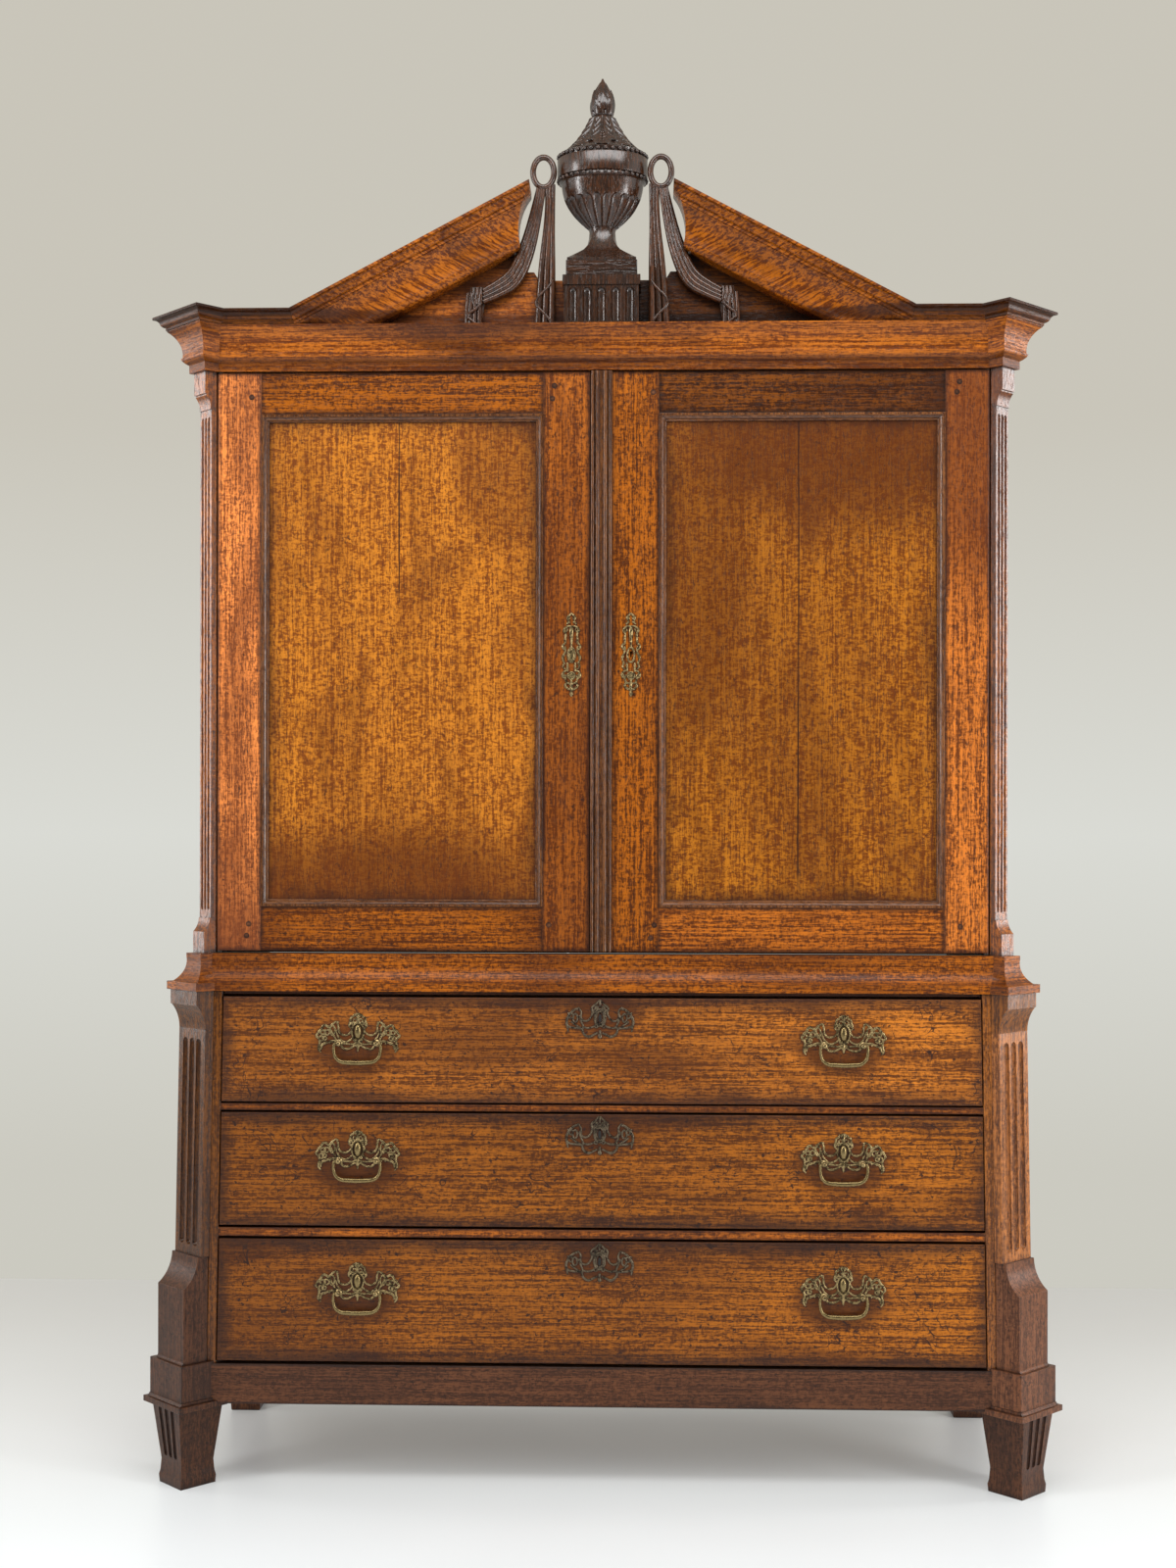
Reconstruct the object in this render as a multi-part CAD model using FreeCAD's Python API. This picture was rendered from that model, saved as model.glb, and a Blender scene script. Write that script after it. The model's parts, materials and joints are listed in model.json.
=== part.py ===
import FreeCAD, Part
import math
import os

# Oak cabinet in two stages: three drawers below, a two-door cupboard above,
# canted fluted corners and a broken pediment with a carved urn and drapery.
# Millimetres. X runs to the right, Y to the back, Z up. While the pieces are
# drawn, Y = 0 is the front of the doors; main() then moves them all so that
# the origin lies under the middle of the whole cabinet.

V = FreeCAD.Vector

# Driving heights, from the floor up
foot_height = 149.0
foot_board_thick = 10.5
foot_board_cove = 5.5
apron_foot_gap = 5.0
apron_top = 228.0
drawer_low_bottom = 233.5
drawer_low_height = 226.5
drawer_mid_bottom = 485.0
drawer_mid_height = 209.5
drawer_top_bottom = 714.0
drawer_top_height = 195.0
rail_low_bottom = 464.0
rail_low_height = 16.5
rail_mid_bottom = 698.0
rail_mid_height = 13.0
rail_top_bottom = 912.5
ledge_bottom = 919.5
ledge_thick = 15.5
waist_cove_height = 46.0
waist_fillet = 6.5
door_bottom = 992.0
door_height = 1082.0
door_head_gap = 2.0
fascia_height = 15.0
bed_bead_height = 14.0
cornice_cove_height = 52.0
crown_height = 25.0

# Driving widths and depths
upper_half_width = 750.0
upper_back_y = 500.0
carcass_board = 22.0
back_board = 12.0
upper_cant_width = 38.0
lower_cant_width = 90.0
lower_stile_in = 33.0
lower_front_y = -37.0
lower_stile_width = 16.5
lower_lean = 0.017
apron_proud = 4.0
apron_side_gap = 2.0
lower_floor_rise = 20.0
lower_floor_thick = 20.0
lower_top_thick = 18.0
top_rail_set_back = 10.0
post_depth = 62.0
lower_post_depth = 97.0

# Doors
door_thick = 28.0
door_outer_gap = 1.5
door_meeting_gap = 1.5
door_meeting_x = -20.0
door_stile = 84.0
door_top_rail = 78.0
door_bottom_rail = 83.0
door_meeting_stile = 87.5
door_rebate_cover = 22.0
door_back_gap = 1.5
pivot_inset = 6.0
pivot_radius = 3.5
pivot_reach = 14.0
pivot_fit = 0.05
pivot_collar = 6.0
pivot_end_gap = 2.0
post_lip = 1.0
post_rebate_depth = 32.5
panel_front_y = 10.0
panel_thick = 11.0
panel_tongue = 9.0
panel_side_gap = 0.5
door_mould_width = 13.5
door_mould_proud = 2.5
door_mould_top = 5.0
door_mould_lip = 3.0
door_mould_step = 2.0
door_mould_fillet = 1.0
door_mould_bow = 1.0
astragal_width = 40.0
astragal_proud = 11.0
astragal_bead = 7.0
astragal_groove = 7.0
astragal_edge = 5.5
astragal_step = 7.7
door_open_angle = 90.0

# Drawers
drawer_proud = 3.0
drawer_edge_round = 2.5
drawer_front_thick = 22.0
drawer_side_gap = 1.5
drawer_side_thick = 14.0
drawer_back_thick = 12.0
drawer_bottom_thick = 9.0
drawer_bottom_rise = 12.0
drawer_bottom_housing = 6.0
drawer_back_drop = 8.0
drawer_box_length = 478.0
drawer_back_room = 48.0
drawer_box_drop = 18.0
drawer_guide_gap = 0.8
runner_width = 40.0
runner_thick = 18.0
runner_reach = 8.0
running_gap = 0.3
drawer_travel = 400.0

# Brass fittings
handle_in = 252.5
handle_drop_top = 85.0
handle_drop_mid = 88.0
handle_drop_low = 98.0
plate_thick = 2.5
plate_width = 150.0
plate_height = 76.0
post_spread = 76.0
post_radius = 4.5
post_reach = 17.0
bail_bar_radius = 3.0
bail_drop = 44.0
bail_bend = 14.0
bail_side_gap = 0.5
bail_axis_in = 5.0
bail_pin_radius = 2.0
bail_pin_reach = 6.0
bail_pin_fit = 0.1
bail_lift_angle = 80.0
scutcheon_width = 127.0
scutcheon_height = 74.0
scutcheon_top_gap = 2.0
scutcheon_key_drop = 26.5
door_scutcheon_width = 36.0
door_scutcheon_height = 156.0
door_scutcheon_x = 55.5
door_scutcheon_mid_z = 1545.5
keyhole_radius = 2.6
keyhole_slot = 9.0
lock_case_width = 60.0
lock_case_height = 44.0
lock_case_thick = 9.0
bolt_width = 26.0
bolt_thick = 5.0
bolt_height = 30.0
bolt_travel = 9.0
bolt_cut_gap = 0.6
bolt_head_room = 1.0
bolt_cover = 1.0
slide_bolt_radius = 4.0
slide_bolt_length = 150.0
slide_bolt_travel = 14.0
slide_bolt_x = -62.0
slide_bolt_end_gap = 2.0
slide_bolt_clear = 1.0
slide_knob_radius = 3.5
slide_knob_reach = 14.0
staple_in = 27.0
staple_width = 24.0
staple_height = 12.0
staple_thick = 11.0

# Corner pilasters
upper_shaft_proud = 10.0
upper_block_proud = 24.0
upper_capital_block = 42.0
upper_capital_cove = 28.0
upper_base_block = 40.0
upper_base_cove = 26.0
upper_cove_lip = 2.0
upper_cove_bow = 3.0
upper_block_step = 3.0
upper_flute_radius = 3.6
upper_flute_pitch = 10.5
upper_flute_out = 0.6
upper_flute_margin = 14.0
lower_shaft_proud = 17.0
lower_block_proud = 36.0
lower_capital_block = 27.0
lower_capital_cove = 45.0
lower_capital_lip = 2.0
lower_capital_bow = 4.5
lower_base_top = 426.0
lower_base_cove = 56.0
lower_base_proud = 50.0
lower_base_lip = 3.0
lower_base_bow = 7.5
plinth_cyma = 8.0
plinth_cyma_out = 4.0
plinth_cyma_bow = 1.2
plinth_chamfer = 1.0
plinth_top = 232.0
plinth_proud = 59.0
plinth_side = 10.0
foot_board_over = 9.0
foot_board_back = 34.0
foot_cove_side = 2.0
foot_cove_out = 4.0
planted_depth = 6.0
lower_flute_radius = 8.0
lower_flute_margin = 18.0
lower_flute_pitch = 22.5
lower_flute_out = 1.0
flute_count = 3

# Feet
foot_top_side = 93.0
foot_ankle_side = 69.0
foot_toe_side = 76.0
foot_ankle_height = 44.0
foot_toe_height = 14.0
foot_toe_taper = 2.0
foot_flare_height = 23.0
foot_flare_side = 72.0
foot_offset = 12.0
foot_flute_radius = 5.5
foot_flute_pitch = 21.0
foot_flute_low_pitch = 17.0
foot_flute_low_margin = 8.0
foot_flute_high_margin = 3.0
back_foot_width = 78.0
back_foot_depth = 90.0
back_foot_taper = 9.0

# Mouldings
ledge_over = 6.0
waist_depth = 60.0
waist_top_in = 20.0
waist_foot_in = 2.0
waist_bow = 6.5
fascia_side = 8.0
fascia_proud = 30.0
fascia_front_y = -6.0
fascia_side_out = 6.0
bed_bead_proud = 11.0
bed_bead_step = 3.0
bed_bead_bow = 1.0
rake_bead_foot = 2.0
cove_foot = 9.0
cove_head = 30.0
cove_lip = 2.0
cove_bow = 6.8
crown_step = 2.0
crown_fillet = 5.0
crown_proud = 50.0
crown_lip = 2.0
crown_bow = 1.6
cornice_back = 30.0

# Pediment
rake_angle = 27.8
rake_start_x = 576.0
rake_end_x = 133.0
rake_wall_y = 24.0
rake_end_step = 12.0
rake_end_in = 8.0
rake_end_foot = 19.0
rake_end_drop = 124.0
rake_end_bow = 8.0
rake_heel_height = 16.0
rake_heel_in = 5.0
tympanum_thick = 20.0
tympanum_sink = 8.0
tympanum_heel_in = 20.0
tympanum_end_x = 160.0
tympanum_shoulder_x = 128.0
tympanum_shoulder_height = 110.0
tympanum_centre_height = 94.0
tympanum_slope = 10.0
pedestal_width = 138.0
pedestal_height = 88.0
pedestal_cap = 18.0
pedestal_cap_over = 3.0
pedestal_front_y = -34.0
pedestal_flutes = 5
pedestal_flute_radius = 8.5
pedestal_flute_pitch = 26.3
pedestal_flute_out = 2.0
pedestal_flute_low = 3.0
pedestal_flute_high = 4.0
urn_plinth_width = 132.0
urn_plinth_height = 29.0
urn_disc_radius = 57.0
urn_disc_thick = 5.0
urn_foot_radius = 43.0
urn_foot_step = 9.0
urn_neck_radius = 25.0
urn_neck_lip = 2.0
urn_neck_band = 6.0
urn_stem_height = 74.0
urn_stem_bow = 7.0
urn_bowl_radius = 80.0
urn_bowl_height = 78.0
urn_bowl_bow = 12.0
urn_band_radius = 85.0
urn_band_height = 37.0
urn_rim_height = 16.0
urn_rim_step = 6.0
urn_rim_swell = 1.0
urn_bead_height = 11.0
urn_bead_in = 4.0
urn_lid_radius = 74.0
urn_lid_height = 69.0
urn_lid_bow = 11.0
urn_lid_top_radius = 20.0
flame_height = 75.0
flame_foot_radius = 17.0
flame_bow = 6.8
flame_shoulder_height = 46.5
flame_shoulder_radius = 13.6
flame_neck_height = 62.0
flame_neck_radius = 5.3
ring_width = 47.0
ring_height = 68.0
ring_hole_width = 31.0
ring_hole_height = 40.0
ring_x = 109.7
ring_rise = 291.0
ring_lap = 8.0
ring_peg_height = 16.0
ring_peg_thick = 9.0
ring_peg_sink = 3.0
fall_top_width = 20.0
fall_in = 89.0
fall_out = 123.0
swag_in = 1.0
swag_foot_drop = 12.0
swag_top_width = 14.0
swag_top_slope = 4.0
swag_upper_bow = 25.0
swag_lower_bow = 45.0
swag_end_x = 220.0
swag_end_height = 26.0
knot_x = 254.0
knot_rise = 60.0
knot_height = 28.0
knot_lap = 2.0
tail_inner_in = 6.0
tail_outer_in = 1.0
drape_front_y = 2.0
drape_thick = 20.0

# Inside the cupboard
shelf_count = 3
shelf_thick = 20.0
shelf_set_back = 4.0
upper_floor_thick = 20.0
bearer_width = 22.0
bearer_height = 26.0
top_board_thick = 20.0

# Heights and places that follow
apron_bottom = foot_height + apron_foot_gap
ledge_top = ledge_bottom + ledge_thick
waist_top = ledge_top + waist_cove_height + waist_fillet
door_top = door_bottom + door_height
fascia_bottom = door_top + door_head_gap
bed_bottom = fascia_bottom + fascia_height
cove_bottom = bed_bottom + bed_bead_height
crown_bottom = cove_bottom + cornice_cove_height
cornice_top = crown_bottom + crown_height
pedestal_top = crown_bottom + pedestal_height
root_two = math.sqrt(2.0)
upper_cant_run = upper_cant_width / root_two
upper_cant_mid = V(-upper_half_width + upper_cant_run / 2.0, upper_cant_run / 2.0, 0)
upper_stile_half = upper_half_width - upper_cant_run
lower_stile_half = upper_half_width - lower_stile_in
lower_half_width = lower_stile_half + lower_cant_width / root_two
lower_side_front = lower_front_y + lower_cant_width / root_two
lower_cant_mid = V(-(lower_stile_half + lower_half_width) / 2.0, (lower_front_y + lower_side_front) / 2.0, 0)
cant_out = V(-1.0 / root_two, -1.0 / root_two, 0)
cant_along = V(1.0 / root_two, -1.0 / root_two, 0)
drawer_opening_half = lower_stile_half - lower_stile_width
handle_x = drawer_opening_half - handle_in
drawer_front_y = lower_front_y - drawer_proud
lower_back_y = drawer_front_y + drawer_front_thick + drawer_box_length + drawer_back_room + back_board
door_outer_x = upper_stile_half - door_outer_gap
pivot_x = door_outer_x - pivot_inset
slide_bolt_y = door_thick + slide_bolt_radius + slide_bolt_clear
foot_board_top = foot_height + foot_board_thick
plinth_bottom = foot_board_top + foot_board_cove
foot_board_proud = plinth_proud + foot_board_over
foot_board_half = lower_cant_width / 2.0 + plinth_side + foot_board_over
lean_at_foot = lower_lean * (ledge_bottom - foot_height)
front_reach = -(lower_cant_mid.y - (foot_board_proud + foot_board_half) / root_two)
centre_shift = V(0, (front_reach - lower_back_y) / 2.0, 0)
small = 0.01
beyond = 1.0  # how far a cutter runs past what it cuts
far = 9000.0  # further than any piece reaches
bail_axis_y = drawer_front_y - post_reach + bail_axis_in
drawer_bolt_y = drawer_front_y + drawer_front_thick - bolt_cover
door_bolt_y = door_thick - lock_case_thick + bolt_cover
drawers = (("top_drawer", drawer_top_bottom, drawer_top_height, handle_drop_top),
           ("middle_drawer", drawer_mid_bottom, drawer_mid_height, handle_drop_mid),
           ("bottom_drawer", drawer_low_bottom, drawer_low_height, handle_drop_low))


def lean(z):
    """How far the lower stage spreads on each side at height z."""
    return lower_lean * (ledge_bottom - z)


def block(x0, x1, y0, y1, z0, z1):
    return Part.makeBox(x1 - x0, y1 - y0, z1 - z0, V(x0, y0, z0))


def corner_face(points):
    """A flat face with straight edges between its corners."""
    corners = [p for i, p in enumerate(points) if p.distanceToPoint(points[i - 1]) > small]
    return Part.Face(Part.makePolygon(corners + [corners[0]]))


def profile_face(profile, base, outward, upward=V(0, 0, 1)):
    """A flat face from (out, up) corners, drawn at base.

    A third value makes the edge that ends at that corner an arc, which
    bulges by so much to the left of its chord."""
    def put(out, up):
        return base + outward * out + upward * up
    edges = []
    for start, end in zip(profile, profile[1:] + profile[:1]):
        here = put(start[0], start[1])
        there = put(end[0], end[1])
        run = math.hypot(end[0] - start[0], end[1] - start[1])
        if run < small:
            continue
        if len(end) == 3:
            out = (start[0] + end[0]) / 2.0 - (end[1] - start[1]) / run * end[2]
            up = (start[1] + end[1]) / 2.0 + (end[0] - start[0]) / run * end[2]
            edges.append(Part.Arc(here, put(out, up), there).toShape())
        else:
            edges.append(Part.makeLine(here, there))
    return Part.Face(Part.Wire(edges))


def prism(points, vector):
    return corner_face(points).extrude(vector)


def sheet(profile, y, thick):
    """A board seen from the front as (x, z) corners and arcs, with its face at y."""
    return profile_face(profile, V(0, y, 0), V(1, 0, 0)).extrude(V(0, thick, 0))


def upright(plan, z0, z1):
    """A post with the given plan of (x, y) corners and arcs, from height z0 to z1."""
    face = profile_face(plan, V(0, 0, z0), V(1, 0, 0), V(0, 1, 0))
    return face.extrude(V(0, 0, z1 - z0))


def leaning(points, z0, z1):
    """A left-hand post whose plan, given at the ledge, moves out towards the floor."""
    shift = -lean(z1)
    raised = [V(p.x + shift, p.y, z1) for p in points]
    return prism(raised, V(lean(z1) - lean(z0), 0, z0 - z1))


def mirrored(shape):
    return shape.mirror(V(0, 0, 0), V(1, 0, 0))


def joined(shapes):
    if len(shapes) == 1:
        return shapes[0]
    return shapes[0].multiFuse(shapes[1:]).removeSplitter()


def pair(shape):
    """The piece and its twin on the other side."""
    return [shape, mirrored(shape)]


def half_space(point, normal):
    """A large block lying on the side of the plane that its normal points to."""
    slab = Part.makeBox(far, far, far, V(-far / 2.0, -far / 2.0, 0))
    slab.Placement = FreeCAD.Placement(point, FreeCAD.Rotation(V(0, 0, 1), normal))
    return slab


def moulding(path, profile, closed=False):
    """The section run along the path, mitred at each corner.

    Outward is to the left of the direction of travel."""
    count = len(path)
    runs = count if closed else count - 1
    directions = [(path[(i + 1) % count] - path[i]).normalize() for i in range(runs)]
    solids = []
    for i in range(runs):
        start = path[i]
        end = path[(i + 1) % count]
        along = directions[i]
        outward = V(-along.y, along.x, 0)
        extra = 3.0 * crown_proud
        face = profile_face(profile, start - along * extra, outward)
        run = face.extrude(along * ((end - start).Length + 2.0 * extra))
        before = directions[i - 1] if (closed or i > 0) else along
        after = directions[(i + 1) % runs] if (closed or i < runs - 1) else along
        run = run.cut(half_space(start, (before + along).normalize() * -1.0))
        run = run.cut(half_space(end, (along + after).normalize()))
        solids.append(run)
    return joined(solids)


def corner_plan(mid, proud, half, front_y, side_x):
    """Plan of the left corner block, from the front line to the side line."""
    face = mid + cant_out * proud
    front = face + cant_along * half
    side = face - cant_along * half
    inner = front + V(1, 1, 0) * (front_y - front.y)
    outer = side + V(1, 1, 0) * (-side_x - side.x)
    return [inner, front, side, outer]


def around(mid, proud, half, front_y, side_x, back_y):
    """The line of a moulding round both sides and the front, right to left."""
    left = corner_plan(mid, proud, half, front_y, side_x) + [V(-side_x, back_y, 0)]
    right = [V(-p.x, p.y, 0) for p in reversed(left)]
    return right + left


nodes = {}


def keep(name, shapes):
    """Register the solids of one named piece."""
    nodes[name] = shapes if isinstance(shapes, list) else [shapes]


def spread(count, pitch):
    """Evenly spaced places, centred on zero."""
    return [(i - (count - 1) / 2.0) * pitch for i in range(count)]


def flute_cutter(middle, radius, z0, z1, lean_shift=0.0):
    """A round-ended groove cutter standing on its axis line."""
    foot = V(middle.x, middle.y, z0 + radius)
    head = V(middle.x + lean_shift, middle.y, z1 - radius)
    rod = Part.makeCylinder(radius, (head - foot).Length, foot, head - foot)
    return rod.fuse([Part.makeSphere(radius, foot), Part.makeSphere(radius, head)])


def across(mid, half, section):
    """A section (out from the canted face, height) run across the corner."""
    face = profile_face(section, mid - cant_along * half, cant_out)
    return face.extrude(cant_along * (2.0 * half))


def fitted(shape, neighbours):
    """The shape with the space of the pieces it is planted on taken out."""
    for other in neighbours:
        shape = shape.cut(other)
    return shape


def lower_mid(z):
    """The middle of the left lower corner's canted face at height z."""
    return lower_cant_mid + V(-lean(z), 0, 0)


def shaft_plan(mid, proud, half):
    """A pilaster's shaft, from the canted face outwards."""
    face = mid + cant_out * proud
    return [mid + cant_along * half, face + cant_along * half,
            face - cant_along * half, mid - cant_along * half]


def make_lower_pilasters():
    """Shafts, capitals and stepped bases planted on the canted lower corners."""
    half = lower_cant_width / 2.0
    block_bottom = ledge_bottom - lower_capital_block
    capital_bottom = block_bottom - lower_capital_cove
    shaft = leaning(shaft_plan(lower_cant_mid, lower_shaft_proud, half), lower_base_top, capital_bottom)
    low = lower_base_top + lower_flute_margin
    high = capital_bottom - lower_flute_margin
    for offset in spread(flute_count, lower_flute_pitch):
        axis = lower_mid(low) + cant_out * (lower_shaft_proud + lower_flute_out) + cant_along * offset
        shaft = shaft.cut(flute_cutter(axis, lower_flute_radius, low, high, lean(low) - lean(high)))
    posts = [nodes["lower_corner_posts"][0], nodes["lower_sides"][0], nodes["apron"][0]]
    capital = across(lower_mid(capital_bottom), half, [
        (-planted_depth, capital_bottom), (lower_shaft_proud, capital_bottom),
        (lower_block_proud - lower_capital_lip, block_bottom, lower_capital_bow),
        (lower_block_proud, block_bottom), (lower_block_proud, ledge_bottom), (-planted_depth, ledge_bottom)])
    keep("lower_pilasters", pair(shaft) + pair(fitted(capital, posts)))

    base = across(lower_mid(plinth_top), half, [
        (-planted_depth, plinth_top), (lower_base_proud + plinth_cyma_out, plinth_top),
        (lower_base_proud, plinth_top + plinth_cyma, plinth_cyma_bow),
        (lower_base_proud, lower_base_top - lower_base_cove),
        (lower_shaft_proud + lower_base_lip, lower_base_top, lower_base_bow),
        (-planted_depth, lower_base_top)])
    mid = lower_mid(foot_height)
    back = -foot_board_back
    plinth_half = half + plinth_side
    plinth = across(mid, plinth_half, [
        (back, plinth_bottom), (plinth_proud, plinth_bottom), (plinth_proud, plinth_top - plinth_chamfer),
        (plinth_proud - plinth_chamfer, plinth_top), (back, plinth_top)])
    cove = across(mid, plinth_half + foot_cove_side, [
        (back, foot_board_top), (plinth_proud + foot_cove_out, foot_board_top), (plinth_proud, plinth_bottom),
        (back, plinth_bottom)])
    board = across(mid, foot_board_half, [
        (back, foot_height), (foot_board_proud, foot_height), (foot_board_proud, foot_board_top),
        (back, foot_board_top)])
    stack = [fitted(piece, posts) for piece in (base, plinth, cove, board)]
    keep("lower_pilaster_bases", [solid for piece in stack for solid in pair(piece)])


def make_feet():
    """Tapered square front feet turned to the canted corners, plain blocks behind."""
    centre = lower_mid(foot_height) + cant_out * foot_offset

    def square_at(side, z):
        ring = [V(centre.x, centre.y, z) + cant_out * (a * side / 2.0) + cant_along * (b * side / 2.0)
                for a, b in ((1, 1), (1, -1), (-1, -1), (-1, 1))]
        return Part.makePolygon(ring + [ring[0]])

    def tapered(*levels):
        return Part.makeLoft([square_at(side, z) for side, z in levels], True, True)
    leg = tapered((foot_top_side, foot_height), (foot_ankle_side, foot_ankle_height))
    flare = tapered((foot_ankle_side, foot_ankle_height), (foot_flare_side, foot_flare_height),
                    (foot_toe_side, foot_toe_height))
    toe = tapered((foot_toe_side, foot_toe_height), (foot_toe_side - foot_toe_taper, 0))
    slope = (foot_top_side - foot_ankle_side) / 2.0 / (foot_height - foot_ankle_height)
    low_out = foot_ankle_side / 2.0 + slope * foot_flute_low_margin
    high_out = foot_top_side / 2.0 - slope * foot_flute_high_margin
    for place in spread(flute_count, 1.0):
        low = centre + cant_out * low_out + cant_along * (place * foot_flute_low_pitch)
        low.z = foot_ankle_height + foot_flute_low_margin + foot_flute_radius
        high = centre + cant_out * high_out + cant_along * (place * foot_flute_pitch)
        high.z = foot_height - foot_flute_high_margin
        rod = Part.makeCylinder(foot_flute_radius, (high - low).Length, low, high - low)
        leg = leg.cut(rod.fuse(Part.makeSphere(foot_flute_radius, low)))
    keep("front_feet", pair(joined([leg, flare, toe])))

    x0 = -lower_half_width - lean_at_foot
    y0 = lower_back_y - back_foot_depth

    def rectangle_at(inset, z):
        near = V(x0 + inset, y0 + inset, z)
        away = V(x0 + back_foot_width - inset, lower_back_y - inset, z)
        return Part.makePolygon([near, V(away.x, near.y, z), away, V(near.x, away.y, z), near])
    keep("back_feet", pair(Part.makeLoft([rectangle_at(0, apron_bottom), rectangle_at(back_foot_taper, 0)],
                                         True, True)))


def make_lower_case():
    """Corner posts, sides, back, boards, rails and runners of the drawer stage."""
    stile_back = lower_front_y + lower_post_depth
    rail_back = lower_front_y + post_depth
    back_front = lower_back_y - back_board
    post_plan = [V(-drawer_opening_half, lower_front_y, 0), V(-lower_stile_half, lower_front_y, 0),
                 V(-lower_half_width, lower_side_front, 0), V(-lower_half_width, stile_back, 0),
                 V(-drawer_opening_half, stile_back, 0)]
    keep("lower_corner_posts", pair(leaning(post_plan, apron_bottom, ledge_bottom)))
    side_plan = [V(-lower_half_width, stile_back, 0), V(-lower_half_width, back_front, 0),
                 V(-lower_half_width + carcass_board, back_front, 0),
                 V(-lower_half_width + carcass_board, stile_back, 0)]
    keep("lower_sides", pair(leaning(side_plan, apron_bottom, ledge_bottom)))
    keep("lower_back", block(-lower_half_width, lower_half_width, back_front, lower_back_y,
                             apron_bottom, ledge_bottom))

    def crosswise(y0, y1, z0, z1, half_at_ledge):
        """A board across the case whose ends follow the leaning posts."""
        low = half_at_ledge + lean(z0)
        high = half_at_ledge + lean(z1)
        return sheet([(-low, z0), (low, z0), (high, z1), (-high, z1)], y0, y1 - y0)

    spans = [(lower_front_y, rail_low_bottom, rail_low_bottom + rail_low_height),
             (lower_front_y, rail_mid_bottom, rail_mid_bottom + rail_mid_height),
             (drawer_front_y + top_rail_set_back, rail_top_bottom, ledge_bottom)]
    tops = sorted(bottom + height for name, bottom, height, drop in drawers)
    pocket_half = bolt_width / 2.0 + bolt_cut_gap
    rails = []
    for (front_y, z0, z1), top_z in zip(spans, tops):
        pocket = block(-pocket_half, pocket_half, drawer_bolt_y - bolt_thick - bolt_cut_gap,
                       drawer_bolt_y + bolt_cut_gap, top_z, top_z + bolt_travel + bolt_head_room)
        rails.append(crosswise(front_y, rail_back, z0, z1, drawer_opening_half).cut(pocket))
    keep("drawer_rails", rails)

    apron_face = crosswise(lower_front_y - apron_proud, lower_front_y, apron_bottom, apron_top,
                           lower_stile_half - apron_side_gap)
    apron_body = crosswise(lower_front_y, rail_back, apron_bottom, apron_top, drawer_opening_half)
    keep("apron", joined([apron_face, apron_body]))

    inner = lower_half_width - carcass_board
    floor_z = apron_bottom + lower_floor_rise
    floor = crosswise(stile_back, back_front, floor_z, floor_z + lower_floor_thick, inner)
    top = crosswise(stile_back, back_front, ledge_bottom - lower_top_thick, ledge_bottom, inner)
    keep("lower_boards", [floor, top])

    runners = []
    for name, bottom, height, drop in drawers:
        z1 = bottom - running_gap
        z0 = z1 - runner_thick
        z2 = z1 + runner_width
        reach = drawer_half_width(z1) - drawer_side_thick - runner_reach
        guide_x = drawer_half_width(bottom + height)
        bearer = sheet([(-inner - lean(z0), z0), (-reach, z0), (-reach, z1), (-inner - lean(z1), z1)],
                       stile_back, back_front - stile_back)
        nose = block(-drawer_opening_half - lean(z1), -reach, rail_back, stile_back, z0, z1)
        guide = sheet([(-inner - lean(z1), z1), (-guide_x, z1), (-guide_x, z2), (-inner - lean(z2), z2)],
                      stile_back, back_front - stile_back)
        runners += pair(joined([bearer, nose, guide]))
    keep("drawer_runners", runners)


def drawer_half_width(z):
    """Half the width of the drawer opening at height z, less the gap beside a drawer."""
    return drawer_opening_half + lean(z) - drawer_side_gap


def pivot_hole(side, z, direction):
    """The socket that a door's pin turns in."""
    return Part.makeCylinder(pivot_radius + pivot_fit, pivot_reach, V(side * pivot_x, pivot_inset, z),
                             V(0, 0, direction))


def make_waist():
    """The ledge and cove round the waist, broken forward over the corners."""
    path = around(lower_cant_mid, lower_block_proud, lower_cant_width / 2.0,
                  lower_front_y, lower_half_width, lower_back_y)
    ring = moulding(path, [
        (-waist_depth, ledge_bottom), (ledge_over, ledge_bottom), (ledge_over, ledge_top),
        (-waist_foot_in, ledge_top), (-waist_top_in, ledge_top + waist_cove_height, waist_bow),
        (-waist_top_in, waist_top), (-waist_depth, waist_top)])
    keep("waist_moulding", fitted(ring, [pivot_hole(side, waist_top, -1) for side in (-1, 1)]))


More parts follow.
